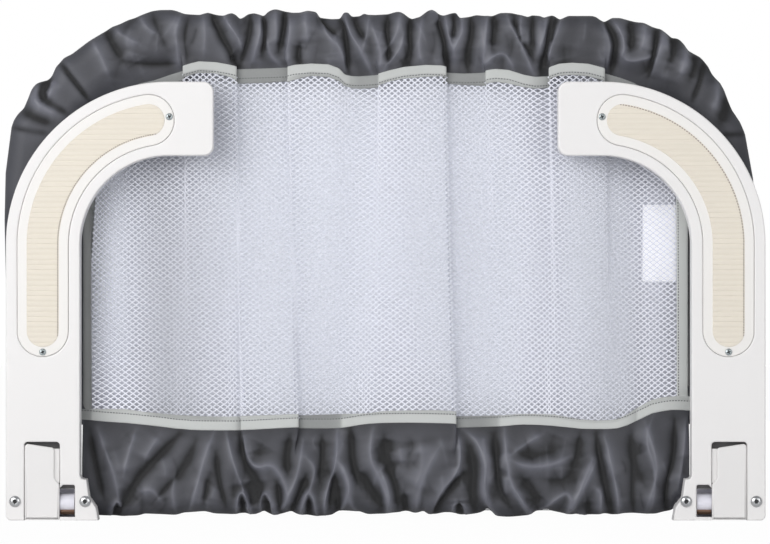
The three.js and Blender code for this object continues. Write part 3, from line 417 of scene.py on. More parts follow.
# The J's outline, anticlockwise, from the toe of the flange. cut is the notch that the lever and window need.
def armOutline(cut):
    a = arm
    bendX, top, inner = a["reach"] - a["bend"], a["bendHeight"] + a["bend"], a["reach"] - a["width"]
    corner, flangeTop = a["tabCorner"], a["flange"][0][1]
    return np.concatenate([
        [a["flange"][-1]],
        cut,
        arcPoints(a["reach"] - a["footCorner"], a["footCorner"], a["footCorner"], -90, 0, 7),
        arcPoints(bendX, a["bendHeight"], a["bend"], 0, 90, 61),
        arcPoints(a["tabEnd"] + corner, top - corner, corner, 90, 180, 10),
        arcPoints(a["tabEnd"] + corner, top - a["width"] + corner, corner, 180, 270, 10),
        arcPoints(bendX, a["bendHeight"], a["bend"] - a["width"], 90, 0, 41),
        [(inner + x, flangeTop + z) for x, z in a["flangeRound"]],
        a["flange"][:-1],
    ])


# The front's notch, open below: up the window's inner side, over its top, up the slot and down its outer side.
def slotCut():
    a = arm
    corner, slotHigh = a["windowCorner"], a["slotTop"] - a["slotCorner"]
    return np.concatenate([
        [(a["windowInner"], 0.0), (a["windowInner"], a["windowTop"] - corner)],
        [(a["windowInner"] + corner, a["windowTop"]), (a["slotInner"] - a["windowChamfer"], a["windowTop"])],
        [(a["slotInner"], a["windowTop"] - a["windowChamfer"])],
        arcPoints(a["slotInner"] + a["slotCorner"], slotHigh, a["slotCorner"], 180, 90, 6),
        arcPoints(a["slotOuter"] - a["slotCorner"], slotHigh, a["slotCorner"], 90, 0, 6),
        [(a["slotOuter"], 0.0)],
    ])


# The back's notch: a box over the hinge, its upper corners cut.
def backCut():
    a = arm
    inner, outer, top, corner = a["windowInner"], a["slotOuter"], a["backOpeningTop"], a["backOpeningCorner"]
    return np.array([
        (inner, 0.0), (inner, top - corner), (inner + corner, top),
        (outer - corner, top), (outer, top - corner), (outer, 0.0),
    ])


# The thin bar under the window, in front of the turning knuckle.
sill = {"under": 1.5, "low": 0.02, "top": 3.5, "behind": 0.01, "thick": 2.6, "edge": 0.4, "backEdge": 0.2}


# A box from under the arm to the slot.
def sillOutline():
    left, right = arm["windowInner"] - sill["under"], arm["slotInner"]
    return np.array([(left, sill["low"]), (right, sill["low"]), (right, sill["top"]), (left, sill["top"])])


# The band that the insert and its bezel follow: from its low end up the arm's middle, then round part of
# the bend.
band = {
    "low": 189.5, "turn": 80.8, "x": arm["reach"] - arm["width"] / 2, "bendX": arm["reach"] - arm["bend"],
    "radius": arm["bend"] - arm["width"] / 2,
}
bezel = {"half": 25.5, "gap": 0.22, "overPad": 0.9, "proud": 0.15, "deep": 2.4, "edge": 0.9, "backEdge": 0.3}


# A band of the given half width along the arm's centre line, anticlockwise.
def bandOutline(half):
    b, high = band, arm["bendHeight"]
    end = arcPoints(b["bendX"], high, b["radius"], b["turn"], b["turn"], 1)[0]
    return np.concatenate([
        arcPoints(b["x"], b["low"], half, 180, 360, 25)[:-1],
        arcPoints(b["bendX"], high, b["radius"] + half, 0, b["turn"], 61)[:-1],
        arcPoints(end[0], end[1], half, b["turn"], b["turn"] + 180, 25)[:-1],
        arcPoints(b["bendX"], high, b["radius"] - half, b["turn"], 0, 61),
    ])


# The bezel's two screws: on the centre line, a little past each end of the band.
def screwPlaces():
    turn = np.radians(band["turn"])
    cos, sin = np.cos(turn), np.sin(turn)
    x = band["bendX"] + band["radius"] * cos - screw["pastBand"] * sin
    z = arm["bendHeight"] + band["radius"] * sin + screw["pastBand"] * cos
    return [(band["x"], band["low"] - screw["pastBand"]), (x, z)]


# Moves a closed outline inwards by a mitre, which is the mean of the two edge normals over their spread.
def insetLoop(loop, inset):
    normals = []
    for edge in (loop - np.roll(loop, 1, axis=0), np.roll(loop, -1, axis=0) - loop):
        normals.append(np.stack([-edge[:, 1], edge[:, 0]], axis=1) / np.linalg.norm(edge, axis=1)[:, None])
    spread = 1 + (normals[0] * normals[1]).sum(axis=1, keepdims=True)
    return loop + (normals[0] + normals[1]) / np.maximum(spread, 0.35) * inset  # keeps sharp mitres short


# Quarter circle from the side's flat to the front's: how far in and how deep each step lies.
def quarterRound(radius, steps):
    angle = np.linspace(0, np.pi / 2, steps + 1)
    return radius * (1 - np.sin(angle)), radius * (1 - np.cos(angle))


# A plate: each outline (the first outer, the rest holes) is carried from the front to the back with its
# edges rounded by a quarter circle, and the flats are filled between the innermost rings.
def roundedPlate(name, outlines, front, back, frontEdge, backEdge, side, steps=5, rim=0.5):
    insets, depths = quarterRound(frontEdge, steps)
    backInsets, backDepths = quarterRound(backEdge, steps)
    insets = np.concatenate([[frontEdge + rim], insets, backInsets[::-1], [backEdge + rim]])
    depths = np.concatenate([[front], front + depths, (back - backDepths)[::-1], [back]])
    points, quads, firsts, lasts, count = [], [], [], [], 0
    for k, loop in enumerate(outlines):
        loop = np.asarray(loop, float)
        turned = np.roll(loop, -1, axis=0)
        area = (loop[:, 0] * turned[:, 1] - turned[:, 0] * loop[:, 1]).sum()
        if (area > 0) != (k == 0):
            loop = loop[::-1]
        rings = np.stack([insetLoop(loop, inset) for inset in insets])
        y = np.broadcast_to(depths[:, None], rings.shape[:2])
        points.append(np.stack([rings[..., 0] * side, y, rings[..., 1]], axis=-1).reshape(-1, 3))
        quads.append(gridFaces(len(insets), len(loop), roundColumns=True, flip=side > 0) + count)
        firsts.append((rings[0], count))
        lasts.append((rings[-1], count + (len(insets) - 1) * len(loop)))
        count += rings.shape[0] * rings.shape[1]
    triangles = []
    for caps, turnBack in ((firsts, side > 0), (lasts, side < 0)):
        index = np.concatenate([start + np.arange(len(ring)) for ring, start in caps])
        fill = tessellate_polygon([[Vector((p[0], p[1], 0)) for p in ring] for ring, _ in caps])
        fill = np.array(fill, np.int32)
        corner = np.concatenate([ring for ring, _ in caps])[fill]
        one, two = corner[:, 1] - corner[:, 0], corner[:, 2] - corner[:, 0]
        wrong = (one[:, 0] * two[:, 1] - one[:, 1] * two[:, 0]) < 0
        fill[wrong] = fill[wrong][:, ::-1]
        triangles.append(index[fill if turnBack else fill[:, ::-1]])
    quads, triangles = np.concatenate(quads), np.concatenate(triangles)
    mesh = bpy.data.meshes.new(name)
    mesh.from_pydata((np.concatenate(points) * toMetres).tolist(), [], quads.tolist() + triangles.tolist())
    mesh.polygons.foreach_set("use_smooth", np.arange(len(quads) + len(triangles)) < len(quads))
    mesh.update()
    return linkedObject(name, mesh)


# The lever is a skin over its turning knuckle. Its body stands behind the skin's upper part, and a thin flange
# behind its step closes the slot there.
lever = {
    "gap": 0.35, "low": 0.5, "top": 73.0, "slant": 3.5, "step": 5.0, "shoulderLow": 35.0, "shoulderHigh": 43.0,
    "corner": 3.5, "chamfer": 0.6, "skin": 2.4, "edge": 1.8, "backEdge": 0.3,
}
# The block's cuts are how far in and how far down its upper corners are cut, and the drops where they end.
leverBlock = {
    "low": 37.0, "in": 0.2, "lap": 0.6, "back": 7.9, "edge": 0.3, "backEdge": 0.5,
    "lowCut": 2, "outerCut": (3, 0.6), "outerDrop": 3.5, "innerCut": (3, 0.4), "innerDrop": 3,
}
leverStrip = {"low": 37.4, "width": 9.0, "below": 1.5, "front": 2.5, "back": 8.2, "edge": 0.4}


# Up the outer side, over the slanting top, down to the shoulder, which is a smooth step, then down the
# inner side.
def leverOutline():
    a, v = arm, lever
    inner, outer = a["slotInner"] + v["gap"], a["slotOuter"] - v["gap"]
    step, curve = inner + v["step"], v["corner"]
    share = np.linspace(0, 1, 11)
    shoulder = np.stack([
        step - v["step"] * smoothStep(0, 1, share),
        v["shoulderHigh"] + (v["shoulderLow"] - v["shoulderHigh"]) * share,
    ], axis=1)
    return np.concatenate([
        [(inner + v["chamfer"], v["low"]), (outer - v["chamfer"], v["low"]), (outer, v["low"] + v["chamfer"])],
        arcPoints(outer - curve, v["top"] - curve + v["slant"], curve, 0, 90, 7),
        arcPoints(step + curve, v["top"] - curve, curve, 90, 180, 7),
        shoulder,
        [(inner, v["low"] + v["chamfer"])],
    ])


# A block inside the skin's outline, its corners cut.
def leverBody():
    a, v, b = arm, lever, leverBlock
    left = a["slotInner"] + v["gap"] + v["step"] + b["in"]
    right = a["slotOuter"] - v["gap"] - b["in"]
    high = v["top"] + v["slant"]
    return np.array([
        (left + b["lowCut"], b["low"]), (right, b["low"]), (right, high - b["outerDrop"]),
        (right - b["outerCut"][0], high - b["outerCut"][1]),
        (left + b["innerCut"][0], v["top"] - b["innerCut"][1]),
        (left, v["top"] - b["innerDrop"]), (left, v["shoulderHigh"]),
    ])


# A box beside the step.
def leverFlange():
    left, low = arm["slotInner"] + lever["gap"], leverStrip["low"]
    right, high = left + leverStrip["width"], lever["top"] - leverStrip["below"]
    return np.array([(left, low), (right, low), (right, high), (left, high)])


# The lever's return spring.
spring = {"radius": 2.95, "wire": 0.5, "turns": 7, "perTurn": 24, "around": 10, "gap": 0.1, "pressed": 0.72}


# A coil: a circle carried along a helix about Y, its ends drawn to a point.
def coilSpring(name, x, z, low, high):
    s = spring
    t = np.linspace(0, 1, s["turns"] * s["perTurn"] + 1)[:, None]
    thick = np.where((t == 0) | (t == 1), 0.001, s["wire"])
    angle = np.linspace(0, 2 * np.pi, s["around"], endpoint=False)
    out = s["radius"] + thick * np.cos(angle)
    y = low + s["wire"] + (high - low - 2 * s["wire"]) * t + thick * np.sin(angle)
    turn = 2 * np.pi * s["turns"] * t
    points = np.stack([x + out * np.cos(turn), y, z + out * np.sin(turn)], axis=-1)
    return linkedObject(name, meshFrom(name, points, gridFaces(*y.shape, roundColumns=True)))


# The insert. Ribs at even heights stand proud of it, and small teeth run along one side.
pad = {
    "half": 16.3, "rib": 5.2, "ribStart": 2.0, "ribDeep": 0.7, "groove": (0.12, 0.5), "ribEnds": (0.3, 1.2),
    "proud": 0.9, "sink": 0.7, "edge": 0.8, "rim": 0.35, "tooth": 1.5, "toothDeep": 0.6,
    "toothBand": (0.84, 0.93), "columns": 65, "rows": 560, "endRows": 26,
}


# The insert's face over (along, across): the centre line of the band is carried up and round the bend, and its
# half width closes in a half circle at both ends. Its height rises at the rim and falls in the grooves.
def padSurface(name, side):
    a, b, p = arm, band, pad
    turn, half, straight = np.radians(b["turn"]), p["half"], a["bendHeight"] - b["low"]
    curve = b["radius"] * turn
    ends = half * (1 - np.cos(np.linspace(0, np.pi / 2, p["endRows"])))
    s = np.concatenate([
        ends - half, np.linspace(0, straight + curve, p["rows"])[1:-1], straight + curve + (half - ends)[::-1],
    ])
    past = np.maximum(np.maximum(-s, s - straight - curve), 0)
    wide = np.sqrt(np.maximum(half ** 2 - past ** 2, 0.0))
    bent = np.clip(s - straight, 0, None)
    angle = np.minimum(bent, curve) / b["radius"]
    cos, sin = np.cos(angle), np.sin(angle)
    beyond = np.maximum(bent - curve, 0)
    x = np.where(s < straight, b["x"], b["bendX"] + b["radius"] * cos) - beyond * sin
    z = np.where(s < straight, b["low"] + s, a["bendHeight"] + b["radius"] * sin) + beyond * cos
    across = wide[:, None] * np.sin(np.linspace(-np.pi / 2, np.pi / 2, p["columns"]))
    px, pz = x[:, None] + cos[:, None] * across, z[:, None] + sin[:, None] * across
    rim = half - np.hypot(past[:, None], across)
    height = p["proud"] * smoothStep(0, p["edge"], rim) - p["sink"] * (1 - smoothStep(0, p["rim"], rim))
    wave = np.abs(((pz + p["ribStart"]) / p["rib"]) % 1 * 2 - 1)
    height += p["ribDeep"] * (smoothStep(*p["groove"], wave) - 1) * smoothStep(*p["ribEnds"], rim)
    teeth = np.abs((s[:, None] / p["tooth"]) % 1 * 2 - 1)
    toothLow, toothHigh = p["toothBand"]
    onBand = smoothStep(toothLow * half, toothHigh * half, across * side) * (rim > p["ribEnds"][0])
    height -= p["toothDeep"] * teeth * onBand
    points = np.stack([px * side, a["front"] - height, pz], axis=-1)
    uv = np.stack([np.broadcast_to(s[:, None], px.shape), across * side], axis=-1) * toMetres
    return linkedObject(name, meshFrom(name, points, gridFaces(*px.shape, flip=side < 0), uv))


# Button-head bolts with a hexagon socket, and pan-head screws with a cross.
bolt = {
    "head": 5.75, "rise": 3.0, "shank": 3.0, "long": 22.0, "under": 0.1, "rings": 16,
    "flats": 3.8, "deep": 2.2, "soft": 0.12, "turns": (15, 75, 135), "places": [(300.6, 19.0), (370.7, 19.0)],
}
screw = {
    "head": 3.5, "rise": 1.8, "shank": 1.7, "long": 7.5, "under": 0.2, "rings": 14,
    "cross": 2.1, "wide": 0.45, "deep": 1.0, "soft": 0.15, "tip": 0.3, "turn": 0.4, "pastBand": 21.0,
}


# A head turned about Y: rings of the profile's radius and depth, with a recess sunk into the front. Also says
# which faces line the recess.
def turnedHead(name, x, z, profile, recess, segments=48):
    profile = np.asarray(profile, float)
    angle = np.linspace(0, 2 * np.pi, segments, endpoint=False)
    px, pz = profile[:, :1] * np.cos(angle), profile[:, :1] * np.sin(angle)
    depth = profile[:, 1:] * np.ones_like(angle)
    sunk = recess(px, pz)
    depth = depth + sunk * (depth < arm["front"])
    faces = gridFaces(len(profile), segments, roundColumns=True, flip=True)
    head = linkedObject(name, meshFrom(name, np.stack([x + px, depth, z + pz], axis=-1), faces))
    inside = (sunk > 0.5).reshape(-1)[faces].sum(axis=1) >= 3
    inside &= depth.reshape(-1)[faces].min(axis=1) < arm["front"] + 3
    return head, inside.astype(np.int32)


# Sunk where the reach towards every pair of flats is under half their distance.
def hexSocket(px, pz):
    reach = np.maximum.reduce([np.abs(px * np.cos(t) + pz * np.sin(t)) for t in np.radians(bolt["turns"])])
    half = bolt["flats"] / 2
    return bolt["deep"] * (1 - smoothStep(half - bolt["soft"], half + bolt["soft"], reach))


# Sunk on two bars that cross, each thin one way and ending at the cross's reach the other way.
def crossSlot(px, pz):
    cos, sin = np.cos(screw["turn"]), np.sin(screw["turn"])
    u, v = np.abs(px * cos + pz * sin), np.abs(pz * cos - px * sin)
    thin = [1 - smoothStep(screw["wide"], screw["wide"] + screw["soft"], way) for way in (u, v)]
    within = [1 - smoothStep(screw["cross"] - screw["tip"], screw["cross"], way) for way in (u, v)]
    return screw["deep"] * np.maximum(thin[0] * within[1], thin[1] * within[0])


dome = {"reach": 0.985, "flat": 0.93, "rimHigh": 0.12, "rimIn": 0.15, "tip": 0.001}


# A flattened dome, which is part of an ellipse, then a small edge, the seat, and the shank down to its end.
def domeProfile(kind):
    seat, head, share = arm["front"] - kind["under"], kind["head"], np.linspace(0.0, 1.0, kind["rings"])
    rise = kind["rise"] * np.sqrt(np.maximum(1 - (dome["reach"] * share) ** 2, 0)) * dome["flat"]
    top = np.stack([head * share, seat - rise], axis=1)
    shank, end = kind["shank"], seat + kind["long"]
    rim = [(head, seat - dome["rimHigh"]), (head - dome["rimIn"], seat)]
    return np.concatenate([
        [(dome["tip"], top[0, 1])], top[1:], rim, [(shank, seat), (shank, end), (dome["tip"], end)],
    ])


# A plate of white plastic on its body, from one depth behind the arm's front to another.
def whitePlate(title, sideName, outlines, start, stop, edge, backEdge, finish, owner, node=None):
    front = arm["front"]
    piece = roundedPlate(
        f"{title}_{sideName}", outlines, front + start, front + stop, edge, backEdge, sides[sideName]
    )
    return dress(piece, finish, f"{owner}_{sideName}", node and f"{node}_{sideName}")


thick = {name: arm[name] - arm["front"] for name in ("parting", "back")}
for sideName, side in sides.items():
    body = "arm_" + sideName
    whitePlate(
        "armFrontShell", sideName, [armOutline(slotCut()), bandOutline(bezel["half"] + bezel["gap"])],
        0.0, thick["parting"] - arm["seam"], arm["edge"], arm["matingEdge"], "armWhite", "arm",
        "arm_front_shell",
    )
    whitePlate(
        "windowSill", sideName, [sillOutline()], sill["behind"], sill["thick"], sill["edge"], sill["backEdge"],
        "armWhite", "arm",
    )
    back = whitePlate(
        "armBackShell", sideName, [armOutline(backCut())], thick["parting"] + arm["seam"], thick["back"],
        arm["matingEdge"], arm["edge"], "armWhite", "arm", "arm_back_shell",
    )
    back.data.materials.append(finishes["slotShadow"])  # its front faces, which show only through the slot
    normal = np.empty(len(back.data.polygons) * 3, np.float32)
    back.data.polygons.foreach_get("normal", normal)
    back.data.polygons.foreach_set("material_index", (normal[1::3] < -0.98).astype(np.int32))
    whitePlate(
        "bezelRing", sideName, [bandOutline(bezel["half"]), bandOutline(pad["half"] - bezel["overPad"])],
        -bezel["proud"], bezel["deep"], bezel["edge"], bezel["backEdge"], "bezelWhite", "arm", "bezel",
    )
    face = padSurface("gripPad_" + sideName, side)
    dress(face, "padBeige", body, "grip_pad_" + sideName)
    whitePlate(
        "leverPlate", sideName, [leverOutline()], 0.0, lever["skin"], lever["edge"], lever["backEdge"],
        "leverWhite", "lever", "lever",
    )
    whitePlate(
        "leverBody", sideName, [leverBody()], lever["skin"] - leverBlock["lap"], leverBlock["back"],
        leverBlock["edge"], leverBlock["backEdge"], "leverWhite", "lever",
    )
    lowest, highest = np.array(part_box("lever_spring_" + sideName)) / toMetres
    middle = (lowest + highest) / 2
    coil = coilSpring("leverSpring_" + sideName, middle[0], middle[2], lowest[1] + spring["gap"], highest[1])
    dress(coil, "springSteel", body, "lever_spring_" + sideName)
    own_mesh(coil)
    whitePlate(
        "leverFlange", sideName, [leverFlange()], leverStrip["front"], leverStrip["back"],
        leverStrip["edge"], leverStrip["edge"], "leverWhite", "lever",
    )
    for title, kind, recess, finish, node, places in (
        ("footBolt", bolt, hexSocket, "boltSteel", "foot_bolt", bolt["places"]),
        ("bezelScrew", screw, crossSlot, "screwSteel", "bezel_screw", screwPlaces()),
    ):
        for k, (x, z) in enumerate(places, 1):
            head, sunk = turnedHead(f"{title}_{sideName}_{k}", x * side, z, domeProfile(kind), recess)
            dress(head, finish, body, f"{node}_{sideName}_{k}")
            # The recess's faces take the near-black finish: painted shade inside the sockets and crosses.
            head.data.materials.append(finishes["socketPaintedShade"])
            head.data.polygons.foreach_set("material_index", sunk)
print("arms made")

# CAD pieces that are kept, by the start of their names
keptFinishes = {
    "hinge_base": "hingePlastic", "slide_collar": "hingePlastic", "latch_plate": "latchBrown",
    "upper_tube": "tubePaint", "lower_tube": "tubePaint",
    "hinge_pin": "boltSteel", "lever_pin": "boltSteel", "foot_nut": "boltSteel",
}
for node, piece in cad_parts.items():
    for start, finish in keptFinishes.items():
        if node.startswith(start):
            dress(piece, finish)

# The hinge base is a merged copy. Its inner side is moved out, just clear of the skirt's end.
hinge = {"innerSide": 0.3066, "weld": 1e-6}  # in metres
for sideName in ("left", "right"):
    source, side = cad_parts["hinge_base_" + sideName], sides[sideName]
    shape = bmesh.new()
    shape.from_mesh(source.data)
    bmesh.ops.remove_doubles(shape, verts=shape.verts, dist=hinge["weld"])
    copied = bpy.data.meshes.new("hingeBase_" + sideName)
    shape.to_mesh(copied)
    shape.free()
    place = np.empty(len(copied.vertices) * 3, np.float32)
    copied.vertices.foreach_get("co", place)
    world = np.array(source.matrix_world)
    place = place.reshape(-1, 3) @ world[:3, :3].T + world[:3, 3]
    place[:, 0] = side * np.maximum(side * place[:, 0], hinge["innerSide"])
    copied.vertices.foreach_set("co", place.astype(np.float32).ravel())
    copied.update()
    base = linkedObject("hingeBase_" + sideName, copied)
    dress(base, "hingePlastic", "frame_" + sideName, "hinge_base_" + sideName)
print("bare CAD pieces finished")

# Cloth. One list of knots is shared by the top and bottom tapes, the net and the edges of the satin.
# Each knot: place along the cloth; top: across and down of the satin's edge, across and down of the net's edge,
# depth; bottom: across, down of the satin's edge, down of the net's edge, depth. Across and down are as seen.
clothEnds = (60.0, 711.0)  # first and last place along the cloth
pleatKnots = np.array([
    (60, 88.5, 146, 99, 149, 8.0, 81.4, 419.5, 409.0, 7.5),
    (68, 92, 133, 102, 138, 8.0, 91, 420, 409.0, 7.5),
    (76, 97, 121, 106, 127, 8.0, 99.5, 421, 409, 7.4),
    (84, 101, 113.5, 109, 121, 8.0, 107, 421.6, 409, 7.3),
    (92, 106, 106.5, 113, 115, 8.0, 112, 422, 409, 7.2),
    (110, 118, 95, 124, 104.5, 8.0, 125, 422.8, 409.2, 6.8),
    (136, 140, 83.5, 143, 95, 8.0, 147, 425, 412.4, 6.4),
    (154, 154, 80.5, 156, 91.5, 8.0, 161, 426.5, 413.6, 6.8),
    (170, 170, 75, 170.5, 87, 7.8, 176, 428.5, 415, 7.2),
    (176, 183.5, 70.8, 183.8, 82.5, 7.6, 183, 429, 415.4, 7.0),
    (178, 186.2, 70.0, 186.4, 81.5, 5.4, 186, 429.2, 415.6, 6.9),
    (181, 182.2, 67.0, 182.4, 78.5, 3.4, 189, 429.5, 415.8, 6.8),
    (184, 183.0, 65.8, 183.2, 77.0, 1.8, 192, 429.8, 416, 6.8),
    (190, 190, 63.6, 190, 75.0, 1.2, 198, 430, 416.2, 6.6),
    (199, 199, 61.4, 199, 72.6, 1.0, 208, 430.2, 416.6, 6.2),
    (215.6, 215.6, 62.2, 215.6, 73.2, 1.0, 228, 430.3, 416.8, 6.4),
    (228, 230, 64.8, 230, 77.0, 1.2, 235, 430.3, 416.6, 7.4),
    (232, 236.3, 66.3, 236.3, 79.5, 1.8, 240, 430.2, 416.4, 8.0),
    (234, 237.4, 67.2, 237.4, 81.5, 3.6, 244.3, 430.2, 416.4, 7.6),
    (237, 233.6, 68.8, 233.6, 82.8, 6.4, 245.4, 430.2, 416.3, 5.6),
    (239, 231.8, 69.3, 231.8, 83.4, 8.0, 241.6, 430.1, 416.2, 3.4),
    (242, 236, 69.4, 236, 83.5, 8.8, 240.3, 430.0, 416.1, 1.9),
    (250, 248, 69.0, 248, 83.2, 8.6, 252, 429.6, 415.8, 1.2),
    (268, 268, 68.4, 268, 82.4, 8.4, 274, 428.4, 415, 1.0),
    (281, 284, 67.7, 284, 81.4, 8.6, 293, 427.4, 414.3, 1.4),
    (283, 289.6, 67.6, 289.6, 81.2, 8.4, 298.4, 427.2, 414.1, 2.0),
    (285, 291.6, 67.4, 291.6, 81.4, 6.4, 299.4, 427.3, 414.5, 3.8),
    (287.5, 287.4, 67.0, 287.4, 82.2, 3.4, 296, 427.8, 415.5, 6.6),
    (289.5, 287.0, 66.8, 287.0, 82.0, 1.8, 294.2, 428, 415.8, 8.0),
    (294, 294, 65, 294, 79.8, 1.2, 298.4, 428.2, 415.7, 8.7),
    (311, 311, 63.6, 311, 75.6, 0.9, 314, 428.4, 415.1, 8.6),
    (328.5, 328.5, 64.4, 328.5, 77.0, 0.9, 330, 428.4, 414.6, 8.5),
    (339, 339, 68.3, 339, 80.6, 1.8, 340, 428, 414.2, 8.2),
    (345, 345, 74.8, 345, 86.0, 4.2, 347, 427, 414.0, 6.4),
    (352, 352, 76.2, 352, 88.0, 6.6, 354, 425.8, 413.9, 4.0),
    (360, 360, 76.4, 360, 88.6, 7.4, 361, 424.6, 413.7, 2.4),
    (373, 376.6, 75.2, 376.6, 87.6, 7.2, 370, 423.6, 413.2, 1.5),
    (375.5, 380.2, 74.6, 380.2, 86.6, 5.4, 374, 423.4, 412.6, 1.2),
    (378, 377.6, 74.0, 377.6, 86.2, 3.2, 377, 423.2, 412.0, 1.0),
    (381, 380, 73.2, 380, 84.6, 1.8, 381, 423, 411.4, 0.9),
    (389, 389, 70.5, 389, 81.4, 1.2, 391, 422.8, 411.0, 0.8),
    (404, 404, 67, 404, 78.4, 0.9, 408, 422.6, 410.6, 0.8),
    (426, 426, 65, 426, 76.6, 0.9, 433, 423, 410.4, 0.8),
    (440, 441, 65.5, 441, 76.1, 1.1, 449, 423.4, 411, 1.0),
    (444, 446, 66.3, 446, 76.6, 1.7, 456, 423.7, 411.4, 1.7),
    (446, 447.2, 67.8, 447.2, 78.6, 3.6, 457.2, 424.6, 412.6, 3.6),
    (449, 442.8, 71.0, 442.8, 81.8, 6.6, 452.6, 426.6, 415.2, 6.6),
    (451.5, 441.4, 72.4, 441.4, 83.2, 8.2, 451.4, 427.6, 416.4, 8.2),
    (455, 446, 72.7, 446, 83.6, 8.9, 456, 427.8, 416.5, 8.9),
    (466, 464, 73.6, 464, 84.8, 8.6, 476, 427.2, 416, 8.6),
    (480, 482.6, 72.9, 482.6, 85.7, 8.2, 498, 426.4, 415.6, 8.0),
    (483, 486.8, 72.2, 486.8, 85.4, 6.6, 502, 426.2, 415.5, 7.2),
    (486, 484.8, 71.0, 484.8, 84.0, 4.4, 505, 426, 415.3, 6.6),
    (489, 488, 70, 488, 83.0, 3.2, 509, 425.6, 415, 6.2),
    (496, 495.5, 69, 495.5, 81.8, 2.6, 515, 425, 414.5, 5.8),
    (508.5, 508.5, 70, 508.5, 83.4, 2.6, 523, 424.5, 414, 5.6),
    (523.7, 523.7, 74.8, 523.7, 87.0, 3.4, 537, 424.8, 414.2, 5.8),
    (535, 535, 77.0, 535, 88.5, 5.6, 547, 425.4, 414.4, 6.2),
    (543, 549.5, 76.2, 549.5, 87.6, 7.4, 552, 425.7, 414.5, 6.4),
    (545.5, 551.8, 74.0, 551.8, 85.6, 5.4, 555, 426, 414.8, 6.5),
    (548, 548, 69.4, 548, 81.0, 3.0, 558, 426.3, 415.3, 6.6),
    (550.5, 549.4, 67.2, 549.4, 78.2, 1.6, 561, 426.6, 415.8, 6.7),
    (559, 559, 63.8, 559, 75.6, 1.0, 569, 427.4, 417.4, 6.8),
    (572, 572, 62.8, 572, 74.8, 0.8, 581, 428.7, 419.4, 7.0),
    (588.4, 588.4, 63.8, 588.4, 76.2, 0.9, 596, 429, 420.6, 7.2),
    (600, 604, 67.9, 604, 80.6, 1.6, 608, 429, 420.2, 7.2),
    (602.5, 605.8, 69.6, 605.8, 82.4, 3.4, 611, 428.8, 419.9, 7.2),
    (605.5, 601.8, 72.4, 601.8, 84.6, 6.2, 614, 428.5, 419.6, 7.2),
    (609, 604, 73.2, 604, 85.4, 8.0, 618, 428.1, 418.8, 7.3),
    (622, 622, 78.4, 620.5, 90.4, 8.4, 628, 425.0, 414.0, 7.6),
    (635, 634, 83, 630, 94, 8.2, 637, 420.6, 408.0, 8.0),
    (661, 654, 94.5, 648, 104.5, 8.0, 652, 413.4, 400.0, 8.2),
    (679, 666, 106.5, 658.6, 115, 8.0, 661, 411.4, 397.8, 8.2),
    (687, 671, 113.5, 663, 121, 8.0, 666, 410.6, 397.0, 8.2),
    (695, 675.5, 121, 667, 127, 8.0, 671, 410.0, 396.6, 8.2),
    (703, 680.5, 133, 671, 138, 8.0, 679.5, 409.9, 396.3, 8.2),
    (711, 684.5, 146, 674.5, 149, 8.0, 690, 410.4, 396.4, 8.2),
], float)

# The satin sleeve's outline as seen, clockwise from the left side's foot to the right side's foot.
outline = np.array([
    (9, 436), (7, 330), (4.5, 220), (5.2, 192), (6, 176), (7, 164), (9, 150), (10, 138), (11.5, 127),
    (14, 120), (18, 114), (24, 108), (28, 99), (32, 89), (36, 84), (40, 82), (48, 80), (52, 76), (56, 67),
    (59.5, 63), (64, 58), (72, 54), (80, 48), (88, 42), (96, 37), (104, 32), (112, 27), (120, 24), (128, 20),
    (136, 17.5), (144, 14), (152, 11), (160, 10), (172, 10), (176, 11), (184, 14), (200, 15), (208, 12.4),
    (216, 14.6), (224, 16), (228, 14), (232, 13), (236, 15), (240, 19), (244, 17), (248, 14), (254, 13),
    (260, 15), (264, 16), (268, 12), (272, 10), (276, 9.4), (284, 11), (292, 13), (300, 13), (308, 11),
    (316, 12), (320, 17.6), (332, 19), (340, 18.6), (344, 12.6), (348, 12.4), (352, 16.6), (360, 16),
    (364, 13.4), (368, 15), (376, 15), (388, 14), (396, 12), (400, 12), (404, 14), (408, 17), (412, 19),
    (420, 17), (424, 14), (428, 11), (432, 10), (436, 12), (440, 15), (444, 16), (452, 13), (456, 12.6),
    (460, 18.6), (468, 17), (476, 15), (484, 16), (492, 16), (500, 13), (512, 13), (520, 15), (528, 17),
    (532, 15), (540, 16), (544, 18), (552, 15), (556, 17), (560, 20), (564, 18), (568, 16), (592, 16),
    (596, 17), (600, 20), (604, 22), (608, 20), (612, 18), (620, 18), (628, 20), (636, 22), (644, 23),
    (652, 27), (660, 29), (664, 32), (672, 38), (676, 38), (680, 40), (684, 45), (688, 51), (696, 55),
    (700, 57), (704, 61), (708, 66), (712, 74), (716, 79), (720, 83), (724, 90), (728, 100), (732, 110),
    (736, 116), (740, 122), (745, 133.5), (746, 142), (745, 150), (747, 158), (750, 166), (753, 178),
    (757, 200), (760, 240), (761, 330), (760, 436),
], float)

# Where places along the cloth lie on the outline.
crownKnots = np.array([
    (60, 11.5, 127), (68, 24, 108), (76, 33, 87), (84, 48, 80), (92, 59.5, 63), (110, 88, 42), (136, 128, 20),
    (154, 150, 11.6), (170, 169, 10), (617, 619, 18), (635, 644, 23), (661, 682, 42.5), (679, 705, 62.3),
    (687, 715, 77.8), (695, 726, 95), (703, 738, 119), (711, 745, 133.5),
], float)

